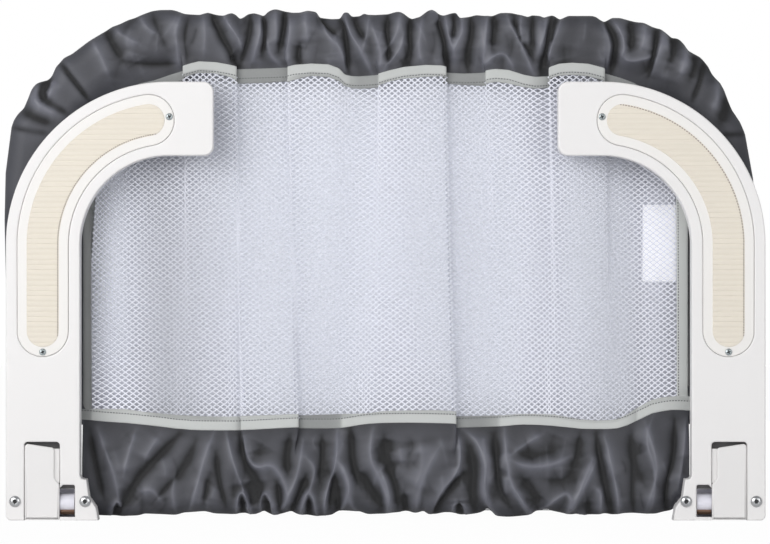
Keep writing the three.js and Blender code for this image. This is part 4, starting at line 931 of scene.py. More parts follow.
# The skirt's lower edge as seen, flattened a little so that it stays above the floor.
hem = np.array([
    (84, 522), (104, 524), (116, 524), (122, 526), (128, 525), (140, 524), (144, 521), (176, 523), (184, 519),
    (196, 518), (204, 517), (208, 518), (212, 520), (216, 521), (232, 522), (244, 520), (256, 522), (264, 516),
    (268, 520), (272, 523), (280, 522), (288, 518), (292, 517), (296, 521), (312, 524), (316, 525), (332, 523),
    (336, 519), (340, 516), (360, 517), (364, 520), (368, 522), (384, 521), (388, 519), (400, 519), (404, 517),
    (408, 517), (412, 519), (416, 520), (420, 518), (424, 516), (428, 522), (436, 522), (444, 519), (452, 519),
    (460, 523), (472, 522), (480, 520), (488, 514), (492, 517), (496, 524), (504, 527), (508, 528), (516, 526),
    (528, 523), (532, 520), (536, 516), (548, 515), (556, 518), (564, 520), (572, 522), (576, 520), (584, 523),
    (600, 522), (604, 520), (612, 523), (624, 520), (656, 521), (664, 518), (672, 516), (676, 507), (690, 507),
], float)

# Creases as seen: height in millimetres (a valley is below zero), reach to the west and to the east, and
# the line down the cloth or across it.
topCreases = [
    (-3.2, 3, 7, [(104, 28), (112, 44), (122, 60)]), (2.4, 6, 4, [(92, 40), (102, 57), (110, 78)]),
    (2.6, 8, 4, [(113, 27), (126, 38), (140, 44)]), (-2.8, 4, 8, [(124, 62), (148, 66), (178, 64)]),
    (2.2, 7, 4, [(139, 16), (149, 30), (158, 34)]), (-2.0, 4, 5, [(152, 12), (158, 30), (168, 50)]),
    (3.2, 8, 4, [(182, 14), (176, 30), (176.6, 43), (181, 72)]),
    (-2.5, 3, 5, [(189, 16), (184, 36), (188, 66)]), (2.0, 8, 5, [(203, 14), (206, 30), (204, 58)]),
    (-6.5, 3, 4, [(211, 11), (217, 25), (222, 38), (229, 49), (237, 66)]),
    (3.4, 4, 4, [(222, 12), (228, 24), (239, 38), (243, 52)]),
    (3.6, 4, 5, [(259, 13), (261, 30), (258, 43), (250, 66)]),
    (-4.6, 3, 3, [(250, 12), (250, 30), (246, 48), (240, 66)]),
    (-5.2, 2.5, 3, [(263, 15), (265.5, 37), (262, 56)]), (3.0, 3, 5, [(266, 36), (269, 54), (283, 68)]),
    (2.4, 6, 6, [(275, 8), (277, 28), (276, 46)]), (-5.4, 3, 3, [(284, 8), (285, 18), (283, 34), (279, 52)]),
    (3.4, 3, 5, [(288.5, 16), (290.5, 28), (287, 50), (289, 68)]),
    (3.6, 11, 10, [(306, 8), (306, 26), (308, 44)]), (-4.6, 4, 3, [(300, 44), (298, 56), (301, 66)]),
    (3.0, 4, 4, [(320, 18), (328.5, 37), (341.5, 47), (345, 70)]),
    (-5.0, 4, 5, [(318, 12), (326, 26), (338, 36)]),
    (-5.4, 3, 3, [(338, 16), (344.7, 28), (346.6, 46), (349, 72)]),
    (3.4, 3, 4, [(344.6, 16), (350, 34), (360, 48), (372, 74)]),
    (-3.8, 3, 4, [(353, 12), (357, 28), (365, 40)]), (2.6, 4, 4, [(369.7, 14), (366, 40), (362, 52)]),
    (3.2, 4, 5, [(371, 20), (377, 41), (382, 55), (380, 74)]),
    (-4.8, 3, 4, [(388, 13), (386, 30), (389, 46), (388, 64)]),
    (3.2, 5, 4, [(401, 12), (398.5, 32.5), (383, 54)]),
    (3.4, 4, 5, [(404, 34), (401, 49), (386, 66), (380, 76)]),
    (-5.0, 3, 4, [(411, 15), (409, 34), (411, 52), (404, 68)]),
    (3.0, 6, 5, [(424, 16), (420, 34), (419, 52), (424, 66)]), (3.2, 4, 4, [(429, 10), (436, 14), (440, 22)]),
    (-6.0, 2.5, 3, [(438, 13), (440.5, 30), (444.5, 43), (448, 73)]),
    (3.6, 4, 5, [(445, 14), (448, 34.7), (455, 55)]), (-4.0, 3, 3, [(453, 12), (455, 24), (452, 40)]),
    (3.4, 4, 4, [(459.7, 12), (464, 30), (457, 43), (453, 56)]),
    (-4.8, 3, 4, [(470, 14), (472, 32), (467, 54), (468, 72)]),
    (3.6, 6, 4, [(488, 13), (485.7, 39), (483.6, 63), (484.6, 74)]),
    (-4.2, 3, 4, [(493, 14), (494, 30), (492, 48)]),
    (3.4, 4, 4, [(484, 67), (492, 56), (504, 52), (511, 62), (514, 72)]),
    (3.4, 4, 4, [(506, 13), (512, 28), (526, 54), (535, 78)]),
    (-4.4, 3, 3, [(514, 16), (520, 40), (529, 50), (534, 60)]),
    (3.0, 3, 4, [(521.5, 14), (520, 33), (524, 48)]), (-3.8, 4, 3, [(533, 14), (532, 32), (534, 50)]),
    (3.4, 5, 4, [(548, 15), (545, 34), (539, 52)]), (-6.0, 3, 3, [(551.5, 14), (547.5, 43), (541, 78)]),
    (-3.6, 2.5, 3, [(557, 17), (553, 30), (551, 44)]),
    (3.8, 7, 4, [(563, 17), (556, 34), (551, 47), (548, 64)]),
    (0.8, 13, 12, [(583, 12), (580, 34), (577, 54)]),
    (3.0, 6, 4, [(601, 20), (611, 42), (609, 57), (605, 70)]),
    (-5.6, 3, 3.5, [(604, 20), (616, 38), (614, 58), (610, 74)]),
    (3.2, 3, 4, [(613, 20), (622, 34), (625, 48), (620, 60)]), (-3.6, 3, 4, [(629, 20), (633, 36), (630, 50)]),
    (3.0, 4, 5, [(622, 55), (629, 61.6), (648.5, 59), (655, 52)]),
    (2.8, 5, 4, [(643, 23), (646, 36), (641, 50)]), (-5.4, 3, 3, [(657, 27), (656, 44), (652, 62), (649, 77)]),
    (3.4, 3, 5, [(662, 28), (662, 44), (654, 66), (650, 78)]), (-3.4, 4, 4, [(672, 36), (674, 50), (669, 66)]),
    (3.0, 5, 5, [(684, 46), (687, 62), (680, 76)]), (-2.6, 4, 4, [(693, 54), (696, 66), (690, 80)]),
    (-1.6, 1.6, 1.6, [(705, 62), (700, 82), (692, 101)]), (-1.6, 1.6, 1.6, [(59.5, 62), (73, 80), (90, 101)]),
]
cornerCreases = [
    (-1.6, 1.6, 1.6, [(59.5, 62), (73, 80), (90, 101)]), (-1.6, 1.6, 1.6, [(10, 127), (30, 131), (50, 134)]),
    (-7.5, 3, 3, [(50, 80), (42, 88), (41, 96), (47, 101)]), (2.4, 2.5, 5, [(54, 80), (50, 92), (48, 99)]),
    (-2.6, 1.6, 1.6, [(44, 101), (56, 107), (68, 114)]), (2.4, 3, 3, [(38, 84), (34, 96), (40, 106)]),
    (2.4, 4, 5, [(30, 95), (40, 106), (58, 116)]), (-2.4, 3, 4, [(22, 110), (34, 118), (52, 124)]),
    (-1.6, 1.6, 1.6, [(705, 62), (700, 82), (692, 101)]),
    (-1.6, 1.6, 1.6, [(721, 135), (733, 134.5), (746, 133.5)]),
    (2.8, 4, 4, [(717, 80), (718, 98), (712, 112)]), (-2.8, 3, 4, [(726, 96), (726, 110), (720, 122)]),
]
skirtCreases = [
    (3.0, 9, 8, [(441, 445), (427, 468), (419, 492), (415, 515)]),
    (-3.6, 5, 5, [(384, 461), (396, 482), (398, 511)]),
    (3.4, 6, 6, [(653, 416), (645, 441), (655, 468), (655, 498), (645, 517)]),
    (-3.4, 6, 6, [(632, 431), (632, 461), (645, 486)]), (3.6, 2.4, 2.8, [(593, 459), (583, 483), (573, 507)]),
    (3.8, 2.4, 2.6, [(513, 488), (530, 511), (535, 520)]),
    (3.8, 2.2, 2.4, [(456, 516), (452, 508), (458, 502), (466, 508), (466, 520)]),
    (-5.2, 2, 2.2, [(459, 509), (460, 522)]),
    (3.6, 2.2, 2.4, [(576, 520), (579, 513), (585, 514), (588, 521)]),
    (-4.6, 1.8, 2, [(582, 517), (582, 524)]),
    (3.6, 2.2, 2.6, [(381, 470), (388, 488), (390, 506), (384, 519)]),
    (3.6, 2.4, 2.6, [(484, 440), (487, 470), (482, 494), (496, 516)]),
    (3.4, 5, 6, [(97.4, 428), (105.8, 453), (114, 474), (120.5, 506)]),
    (-3.0, 4, 4, [(90, 430), (95, 462), (104, 500)]),
    (-5.4, 4, 5, [(179.5, 434), (150, 463.7), (133, 484.7), (122.6, 508), (114, 522)]),
    (3.0, 5, 5, [(136, 430), (128, 456), (124, 476)]), (3.0, 6, 6, [(139.5, 492), (152, 489), (162.6, 503)]),
    (2.4, 8, 6, [(160, 436), (150, 450), (144, 462)]),
    (-3.2, 4, 5, [(152, 504), (168, 486), (186, 466), (196, 440)]),
    (3.4, 5, 5, [(215, 430), (204.7, 457), (196, 491), (187, 516)]),
    (2.4, 5, 5, [(176, 470), (172, 492), (176, 512)]), (-3.2, 3, 4, [(208, 478), (206, 492), (204, 503)]),
    (3.6, 4, 4, [(225.8, 430), (232, 459.5), (244.7, 493), (253, 522)]),
    (-3.6, 3, 3, [(216, 452), (218, 478), (226, 508)]),
    (-5.8, 3, 4, [(240.5, 434), (242.6, 462), (258, 482), (259.5, 506)]),
    (3.8, 4, 4, [(243, 432), (247, 458), (256, 469), (272, 463.7), (283, 478), (289, 501)]),
    (-6.6, 8, 8, [(250, 480), (252, 494), (252, 508)]),
    (4.2, 2, 2.4, [(260.5, 516), (260.5, 497), (265.6, 492), (271, 502), (275, 518)]),
    (-4.6, 1.8, 2, [(267.5, 500), (269.5, 518)]),
    (4.2, 2, 2.4, [(236, 516), (238, 495), (243, 492), (248, 502), (252, 521)]),
    (-4.6, 1.8, 2, [(242.5, 499), (243.5, 518)]),
    (3.8, 2, 2.2, [(110, 518), (113, 505), (118, 500.5), (122, 509)]),
    (-5.4, 1.8, 2, [(116, 505), (113.5, 522)]), (-4.8, 3, 3, [(277, 482), (280, 498), (280, 518)]),
    (3.4, 4, 5, [(303.7, 440), (297.4, 478), (287, 500), (272, 522)]),
    (-4.0, 4, 4, [(290, 436), (286, 458), (288, 474)]),
    (3.2, 4, 4, [(306, 457), (316, 468), (312, 485), (301.6, 508), (297, 522)]),
    (-4.4, 3, 3, [(306, 476), (300, 494), (290, 514)]),
    (4.2, 2, 2.4, [(302, 518), (303.5, 499), (308.7, 491), (314, 499), (318, 520)]),
    (-4.4, 1.8, 2, [(308.5, 498), (308.5, 518)]),
    (4.0, 2.6, 3, [(337.4, 428), (337.4, 461), (328, 486), (324, 507), (326, 523)]),
    (3.8, 2.4, 3, [(337, 462), (343, 465), (351, 486), (345, 503), (334, 521)]),
    (-4.6, 2.4, 2.4, [(335, 474), (332, 492), (330, 508)]), (-4.6, 4, 4, [(322, 436), (322, 458), (320, 482)]),
    (-5.4, 3, 4, [(350, 428), (352, 462), (358.4, 484)]),
    (3.2, 4, 4, [(338, 462), (348, 483), (350, 502), (361, 518)]),
    (-4.4, 3, 3, [(336, 484), (338, 502), (340, 518)]),
    (3.6, 4, 5, [(373, 428), (369, 457), (379.5, 478), (390, 508), (388, 520)]),
    (-5.2, 4, 4, [(358, 472), (366, 480), (381, 506)]), (3.4, 16, 16, [(420, 440), (424, 466), (414, 490)]),
    (-3.8, 5, 5, [(384, 436), (386, 456), (394, 474)]),
    (3.4, 5, 3, [(455.5, 426), (460.6, 447), (459.6, 471), (441, 492), (429, 518)]),
    (-5.6, 3, 4, [(463, 474), (445, 494), (432, 516)]), (-5.0, 5, 5, [(459, 500), (460, 518)]),
    (-3.8, 3, 4, [(404, 492), (405, 504), (406, 518)]),
    (3.6, 3, 5, [(461.6, 428), (478, 441), (486, 467.5), (484, 492), (494, 512), (504, 524)]),
    (-4.6, 4, 3, [(470, 448), (474, 470), (472, 494), (476, 514)]),
    (-4.4, 3, 4, [(494, 434), (497, 462), (498, 488), (510, 508)]),
    (3.6, 4, 4, [(504.5, 428), (506.5, 457), (510.6, 484), (523, 504), (531, 521)]),
    (3.0, 4, 5, [(510.6, 455), (531, 441), (543, 434)]),
    (3.2, 4, 4, [(510.6, 460), (527, 467.5), (553.5, 465.5), (572, 456)]),
    (-2.2, 5, 6, [(514, 452), (534, 456), (560, 448)]), (-4.2, 4, 4, [(522, 478), (534, 492), (540, 506)]),
    (3.4, 4, 4, [(534, 514), (543, 508), (557.5, 498), (568, 492), (572, 504), (564, 518)]),
    (-2.0, 6, 6, [(546, 480), (560, 482), (576, 472)]), (3.6, 5, 5, [(596, 462), (584, 488), (564, 518)]),
    (-5.4, 3, 4, [(596, 434), (601, 465), (608.6, 504), (612.6, 520)]),
    (3.6, 3, 5, [(604.5, 436), (612.6, 471), (619, 504), (617, 522)]),
    (-3.4, 4, 5, [(580, 434), (578, 452), (572, 470)]), (3.4, 4, 4, [(595, 488), (602.4, 493), (600, 514)]),
    (-3.4, 3, 3, [(588, 500), (588, 512), (590, 522)]),
    (-3.8, 4, 5, [(630, 436), (634, 462), (632, 492), (634, 518)]),
    (3.4, 5, 5, [(645, 422), (657.5, 461), (655.5, 482), (645, 512)]),
    (-4.6, 4, 3, [(675, 420), (674, 459), (666, 482), (665.7, 518)]),
    (2.6, 5, 5, [(686, 420), (684, 456), (678, 490)]),
]


# Cuts the corners of an open line twice, so that it bends softly.
def softened(line):
    line = np.asarray(line, float)
    for _ in range(2):
        early, late = 0.75 * line[:-1] + 0.25 * line[1:], 0.25 * line[:-1] + 0.75 * line[1:]
        cut = np.stack([early, late], axis=1).reshape(-1, 2)
        line = np.concatenate([line[:1], cut, line[-1:]])
    return line


# How far points are from a line, on which side of it (east is above zero), and their share of its length.
def besideLine(line, x, y):
    starts = lengthsAlong(line)
    closest, side, place = np.full(x.shape, 1e9), np.zeros(x.shape), np.zeros(x.shape)
    for k, leg in enumerate(np.diff(starts)):
        step = (line[k + 1] - line[k]) / leg
        part = np.clip((x - line[k, 0]) * step[0] + (y - line[k, 1]) * step[1], 0, leg)
        gapX, gapY = x - line[k, 0] - part * step[0], y - line[k, 1] - part * step[1]
        gap = np.hypot(gapX, gapY)
        better = gap < closest
        closest = np.where(better, gap, closest)
        side = np.where(better, gapX * step[1] - gapY * step[0], side)
        place = np.where(better, (starts[k] + part) / starts[-1], place)
    return closest, side, place


# The narrow bell (for ridges and valleys), the broad bell, and how far in from its ends a crease fades.
crease = {
    "ridge": 0.48, "valley": 0.6, "narrow": 0.62, "steep": 1.15, "broad": 0.5, "broadWide": 1.9,
    "fade": 0.22, "atEnds": 0.35, "felt": 6.5,
}


# Every crease adds its height times a narrow and a broad bell of the distance to its line, wider or narrower
# on each side, and fades towards its ends.
def creaseRelief(across, down, creases):
    c = crease
    total = np.zeros_like(across)
    for height, west, east, line in creases:
        line = softened(line)
        reach = c["felt"] * max(west, east)
        near = (across > line[:, 0].min() - reach) & (across < line[:, 0].max() + reach)
        near &= (down > line[:, 1].min() - reach) & (down < line[:, 1].max() + reach)
        if not near.any():
            continue
        closest, side, place = besideLine(line, across[near], down[near])
        width = np.where(side > 0, east, west)
        ends = smoothStep(0, c["fade"], place) * smoothStep(0, c["fade"], 1 - place)
        fade = c["atEnds"] + (1 - c["atEnds"]) * ends
        sharp = np.exp(-((closest / (c["valley" if height < 0 else "ridge"] * width)) ** c["steep"]))
        broad = np.exp(-((closest / (c["broadWide"] * width)) ** 2))
        total[near] += height * fade * (c["narrow"] * sharp + c["broad"] * broad)
    return total


# Stray creases: how far down they run, how they lean and bow, and how their height and their reach to the east
# spread. Each row of them: seed, how many, left, right, high, low, height, and the widths to choose from.
stray = {"runs": (12, 34), "lean": 0.25, "bow": 2.5, "talls": (0.4, 1.0), "easts": (0.7, 1.6)}
narrowWides, broadWides = (1.6, 3.6), (4, 9)
topStrays = [
    (3, 40, 110, 700, 14, 60, 0.9, narrowWides), (4, 60, 95, 720, 12, 62, 1.5, broadWides),
    (21, 12, 10, 34, 150, 400, 1.6, broadWides), (22, 12, 740, 758, 150, 400, 1.6, broadWides),
]
skirtStrays = [(9, 40, 95, 680, 432, 500, 0.9, narrowWides), (8, 60, 90, 685, 428, 504, 1.6, broadWides)]


# Short seeded creases that start between the high and the low line and run down from there.
def strayCreases(seed, count, left, right, high, low, height, wides):
    chance = np.random.default_rng(seed)
    found = []
    for _ in range(count):
        x = chance.uniform(left, right)
        top, run = chance.uniform(high, low), chance.uniform(*stray["runs"])
        lean, bow = chance.normal(0, stray["lean"]), chance.normal(0, stray["bow"])
        tall = height * chance.uniform(*stray["talls"]) * chance.choice([-1, 1])
        wide = chance.uniform(*wides)
        east = wide * chance.uniform(*stray["easts"])
        line = [(x, top), (x + lean * run / 2 + bow, top + run / 2), (x + lean * run, top + run)]
        found.append((tall, wide, east, line))
    return found


# Place of each point of a list on a line, by the nearest of many even steps.
def placesOn(line, points):
    run, where = evenRun(line, 0.25)
    return np.array([where[np.argmin(np.hypot(*(run - p).T))] for p in points])


# The points of a line at the given lengths along it.
def pointsAt(line, where):
    return np.stack([np.interp(where, lengthsAlong(line), column) for column in line.T], axis=-1)


outlineTop = rounded(evenRun(outline, 0.5)[0], 0.5, 1.2)
crownPlaces = placesOn(outlineTop, crownKnots[:, 1:])


# The outline point that belongs to each place along the cloth.
def crownAt(place):
    return pointsAt(outlineTop, np.interp(place, crownKnots[:, 0], crownPlaces))


# The knots at many places along the cloth, with soft turns at the pleats.
def pleatsAt(place, reach=1.0, step=0.25):
    fine = np.arange(pleatKnots[0, 0], pleatKnots[-1, 0] + step, step)
    run = np.stack([np.interp(fine, pleatKnots[:, 0], column) for column in pleatKnots[:, 1:].T], axis=1)
    run = rounded(run, step, reach)
    return np.stack([np.interp(place, fine, column) for column in run.T], axis=-1)


# Unit normals of a grid: the cross product of its slopes along and down.
def faceNormals(points):
    along, down = np.gradient(points, axis=1), np.gradient(points, axis=0)
    normal = np.cross(along, down)
    return normal / np.maximum(np.linalg.norm(normal, axis=2, keepdims=True), 1e-9)


# A sleeve's depths (front face, middle plane, inner edge at the back), the crown's radius, rows of the grid,
# the share of the front's rows that are straight, and how deep and how high creases may go. Soft is how gently
# the hem meets the floor. The shares of the height where the rise, the pleats, the back's gathers and the
# creases start or fade come last.
sleeve = {
    "front": -0.6, "middle": 15.9, "backEdge": 8.0, "crownRadius": 16.5, "crownMost": 0.6,
    "frontRows": 96, "backRows": 30, "straight": 0.66, "deepest": 5.4, "highest": 6.0, "soft": 0.8,
    "riseBy": 0.5, "pleatsFade": (0.02, 0.4), "gathersFrom": 0.12, "gathersTo": 0.85,
    "creasesFrom": 0.16, "crownFrom": 0.9, "crownLoss": 0.8,
}
# How much each scale of the relief lightens or darkens the cloth: between bells of these reaches.
satinLight = {
    "reaches": (0.8, 3.2, 9.0), "close": 0.52, "near": 0.28, "wide": 0.07, "back": 0.5,
    "atEdge": 0.75, "edgeReach": 0.15,
}


# The relief limited softly to its depth and height, faded at the inner edge and at the crown.
def settledRelief(relief, share):
    s = sleeve
    low, high = s["deepest"] * np.tanh(relief / s["deepest"]), s["highest"] * np.tanh(relief / s["highest"])
    kept = 1 - s["crownLoss"] * smoothStep(s["crownFrom"], 1.0, share)
    return np.where(relief < 0, low, high) * smoothStep(0.0, s["creasesFrom"], share) * kept


# How open to the light each point is: ridges are lighter and valleys darker at three scales.
def reliefLight(relief, dim):
    w = satinLight
    close, near, wide = (rounded(rounded(relief, 1.0, reach).T, 1.0, reach).T for reach in w["reaches"])
    return smoothStep(-1, 1, w["close"] * (close - near) + w["near"] * (near - wide) + w["wide"] * wide - dim)


# A sleeve round the frame. From the inner edge it rises to the front, rolls over the crown by a quarter
# ellipse to the middle plane, and comes down the back the same way. The creases push it out along its normal.
# Hold is the share of them that is kept, and dim darkens the cloth's painted shade.
def sleevePoints(edge, plain, crown, depth, creases, gathers, hold, dim, floorHeight=None):
    s = sleeve
    height = np.linalg.norm(crown - plain, axis=1)
    turn = 1 - np.minimum(s["crownRadius"] / height, s["crownMost"])
    q = np.concatenate([np.linspace(0, 1, s["frontRows"]), np.linspace(1, 0, s["backRows"])[1:]])[:, None]
    behind = (np.arange(len(q)) >= s["frontRows"])[:, None]
    low = q < s["straight"]
    angle = np.clip((q - s["straight"]) / (1 - s["straight"]), 0, 1) * np.pi / 2
    share = np.where(low, q / s["straight"] * turn, turn + (1 - turn) * np.sin(angle))
    rise = smoothStep(0, s["riseBy"], share)
    rolled = s["middle"] - (s["middle"] - s["front"]) * np.cos(angle)
    y = np.where(low, depth * (1 - rise) + s["front"] * rise, rolled)
    mirrored = np.where(low, s["backEdge"] * (1 - rise) + s["front"] * rise, rolled)
    y = np.where(behind, 2 * s["middle"] - mirrored, y)
    drawn = edge[None] + (plain - edge)[None] * smoothStep(*s["pleatsFade"], share)[..., None]
    start = np.where(behind[..., None], plain[None], drawn)
    seen = start + (crown[None] - start) * share[..., None]
    x, z = fromPhoto(seen[..., 0], seen[..., 1], y)
    points = np.stack([x, y, z], axis=-1)
    normal = faceNormals(points)
    if normal[5, :, 1].mean() > 0:
        normal = -normal
    relief = creaseRelief(seen[..., 0], seen[..., 1], creases)
    shade = reliefLight(relief, dim)
    atEdge = satinLight["atEdge"]
    lit = atEdge + (1 - atEdge) * smoothStep(0.0, satinLight["edgeReach"], share)
    shade = np.where(behind, satinLight["back"], shade * lit)
    gathered = gathers(x, share) * smoothStep(0, s["gathersFrom"], share)
    gathered = gathered * (1 - smoothStep(s["gathersTo"], 1.0, share))
    relief = np.where(behind, gathered, settledRelief(relief, share))
    points = points + normal * (relief * hold)[..., None]
    if floorHeight is not None:
        above = (points[..., 2] - floorHeight) / s["soft"]
        points[..., 2] = floorHeight + np.logaddexp(0, above) * s["soft"]
    return points, shade


gather = {"height": 2.4, "waves": 3, "lengths": (13, 34), "starts": (0, 6), "drifts": (-2, 2)}


# Gathers of the unseen back: three waves along the cloth that drift with height.
def backGathers(seed):
    chance = np.random.default_rng(seed)
    drawn = [chance.uniform(*gather[part], gather["waves"]) for part in ("lengths", "starts", "drifts")]
    waves = list(zip(*drawn))
    return lambda x, share: gather["height"] * sum(
        np.sin(x * 2 * np.pi / length + start + drift * share) for length, start, drift in waves
    ) / 2


# Half the cross product of two sides, summed over the triangles.
def surfaceArea(mesh):
    mesh.calc_loop_triangles()
    corners = np.empty(len(mesh.loop_triangles) * 3, np.int32)
    mesh.loop_triangles.foreach_get("vertices", corners)
    points = np.empty(len(mesh.vertices) * 3, np.float32)
    mesh.vertices.foreach_get("co", points)
    p = points.reshape(-1, 3)[corners.reshape(-1, 3)]
    return float(np.linalg.norm(np.cross(p[:, 1] - p[:, 0], p[:, 2] - p[:, 0]), axis=1).sum() / 2)


# Makes a mesh a cloth piece of the rail: its finish and node, and its body, or where it has none its transform
# baked in; also prints its flat cut.
def settleCloth(name, mesh, finish, node, flat, body=None):
    piece = linkedObject(name, mesh)
    piece.data.materials.append(finishes[finish])
    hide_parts(node)
    if body:
        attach(piece, body)
    else:
        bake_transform(piece)
    print(name, "flat", [round(side, 3) for side in flat])


# One or more grids in one mesh, each with its own UV from the lengths along its rows and columns. The flat cut
# has the surface's own area and the given length.
def clothPiece(name, grids, shades, flips, finish, node, length, body=None):
    points, faces, uv, shade, count = [], [], [], [], 0
    for grid, light, flip in zip(grids, shades, flips):
        along = np.linalg.norm(np.diff(grid, axis=1, prepend=grid[:, :1]), axis=2).cumsum(axis=1).mean(axis=0)
        down = np.linalg.norm(np.diff(grid, axis=0, prepend=grid[:1]), axis=2).cumsum(axis=0)
        uv.append(np.stack([np.broadcast_to(along, down.shape), down], axis=-1).reshape(-1, 2) * toMetres)
        faces.append(gridFaces(*grid.shape[:2], flip=flip) + count)
        points.append(grid.reshape(-1, 3))
        shade.append(np.broadcast_to(light, grid.shape[:2]).ravel())
        count += len(points[-1])
    points, faces, uv, shade = (np.concatenate(part) for part in (points, faces, uv, shade))
    mesh = meshFrom(name, points, faces, uv, shade=shade)
    settleCloth(name, mesh, finish, node, (surfaceArea(mesh) / length, length), body)


# Satin over the sides and the top: one run of columns, cut at the corner seams, so that its pieces meet.
# The flanks: across and down of the inner edge, then of the outline, as seen.
flanks = {
    "left": [
        (90.5, 424, 9, 430), (90, 400, 8.6, 405), (89.5, 330, 7, 330),
        (88.4, 230, 4.5, 220), (88, 185, 5.6, 173), (88.5, 146, 11.5, 127),
    ],
    "right": [
        (684.5, 146, 745, 133.5), (687.4, 185, 753, 178), (687.8, 230, 758, 225),
        (688, 330, 760, 330), (688.2, 400, 760, 405), (688.2, 424, 760, 430),
    ],
}
# Each stretch: its name and side, its first and last place along the cloth (the flanks have their own line),
# the step between its columns, how strongly its creases hold, and its piece's body, what it rests on and its
# cut length.
stretches = (
    ("side", "left", None, 1.4, 0.6, "frame_left", ["upper_tube_left"], 0.36),
    ("corner", "left", (60, 92), 0.8, 0.75, "frame_left", ["upper_tube_left"], 0.14),
    ("top", None, (92, 679), 0.8, 1.0, None, ["upper_tube_left", "upper_tube_right"], 1.02),
    ("corner", "right", (679, 711), 0.8, 0.75, "frame_right", ["upper_tube_right"], 0.14),
    ("side", "right", None, 1.4, 0.6, "frame_right", ["upper_tube_right"], 0.36),
)
columns = []
for _, sideName, places, step, hold, _, _, _ in stretches:
    if places is None:
        run = evenRun(flanks[sideName], step)[0]
        inner = np.column_stack([run[:, 0:2], np.full(len(run), sleeve["backEdge"])])
        part = np.column_stack([inner, run[:, 2:4], np.full(len(run), hold)])
    else:
        here = np.linspace(*places, int((places[1] - places[0]) / step) + 1)
        knots = pleatsAt(here)
        part = np.column_stack([knots[:, 0:2], knots[:, 4], crownAt(here), np.full(len(here), hold)])
    columns.append(part if not columns else part[1:])
cuts = np.cumsum([len(part) for part in columns])
columns = np.concatenate(columns)
plainReach = 11.0  # evens the inner edge out until its pleats are gone
holdReach = 6.0  # how softly the hold goes over from one stretch to the next
# How much darker the painted shade makes the cloth at places across the view.
topDim = np.interp(columns[:, 3], (540, 552, 604, 614, 640, 690), (0.17, 0.3, 0.3, 0.17, 0.17, 0.36))
points, shade = sleevePoints(
    columns[:, 0:2], rounded(columns[:, 0:2], 1.0, plainReach), columns[:, 3:5], columns[:, 2],
    topCreases + cornerCreases + [found for row in topStrays for found in strayCreases(*row)],
    backGathers(11), rounded(columns, 1.0, holdReach)[:, 5], topDim,
)
first = 0
for (title, sideName, _, _, _, body, rests, length), cut in zip(stretches, cuts):
    ending = "_" + sideName if sideName else ""
    clothPiece(
        f"cover{title.capitalize()}Cloth{ending}", [points[:, first:cut]], [shade[:, first:cut]], [False],
        "satin", f"cover_{title}{ending}", length, body,
    )
    first = cut - 1

# Skirt round the lower tubes
skirt = {
    "columns": 775, "crown": 516.2, "hemLevel": 525, "hemShare": 0.66, "reach": 306.3, "dim": 0.26,
    "floor": 0.5, "tubeTop": (31, 37), "shut": 0.97,
}
places = np.linspace(*clothEnds, skirt["columns"])
knots = pleatsAt(places)
edge = np.stack([knots[:, 5], knots[:, 6]], axis=1)
plain = rounded(edge, 1.0, plainReach)
fineHem = rounded(evenRun(hem, 0.5)[0], 0.5, 2.2)
hemDown = np.interp(plain[:, 0], fineHem[:, 0], fineHem[:, 1])
crown = np.stack([plain[:, 0], skirt["crown"] + (hemDown - skirt["hemLevel"]) * skirt["hemShare"]], axis=1)
points, shade = sleevePoints(
    edge, plain, crown, knots[:, 8],
    skirtCreases + [found for row in skirtStrays for found in strayCreases(*row)],
    backGathers(14), np.ones(len(places)), skirt["dim"], floorHeight=skirt["floor"],
)
points[..., 0] = np.clip(points[..., 0], -skirt["reach"], skirt["reach"])
# Above the tube its open ends are drawn together.
closed = points[:, [0, -1]].copy()
aboveTube = smoothStep(*skirt["tubeTop"], closed[..., 2])
closed[..., 1] += (sleeve["middle"] - closed[..., 1]) * skirt["shut"] * aboveTube
points = np.concatenate([closed[:, :1], points, closed[:, 1:]], axis=1)
shade = np.concatenate([shade[:, :1], shade, shade[:, -1:]], axis=1)
clothPiece(
    "coverBottomCloth", [points], [shade], [True], "satin", "cover_bottom",
    0.96,
)
print("satin made")

# Binding tape: ribbons a little in front of both cloths, their edges rolled back
tape = {
    "lift": 0.7, "roll": 0.9, "rows": 13, "over": 0.02, "flat": 0.35, "backDepth": 24.6, "backWave": 1.2,
    "backLight": 0.8, "sideBackDepth": 24.8, "leftBackShift": 6.0,
}


# A ribbon from its outer edge to its inner one: domed a little towards the viewer, with both edges rolled back.
def ribbonPoints(outer, inner, depth, toward=1):
    share = np.concatenate([[-tape["over"]], np.linspace(0, 1, tape["rows"]), [1 + tape["over"]]])[:, None]
    dome = tape["lift"] * (1 - np.abs(share * 2 - 1) ** 4 * tape["flat"])
    dome = np.where((share < 0) | (share > 1), -tape["roll"], dome)
    seen = outer[None] + (inner - outer)[None] * share[..., None]
    y = depth[None] - dome * toward
    x, z = fromPhoto(seen[..., 0], seen[..., 1], y)
    return np.stack([x, y, z], axis=-1)


places = np.arange(clothEnds[0], clothEnds[1] + 0.01, 0.6)
knots = pleatsAt(places)
# The back's ribbons run without pleats, a little wavy.
plainPlaces = np.arange(clothEnds[0], clothEnds[1] + 0.01, 2.0)
plainKnots = pleatsAt(plainPlaces, 8.0)
backDepth = tape["backDepth"] + tape["backWave"] * np.sin(plainPlaces / 9.0)
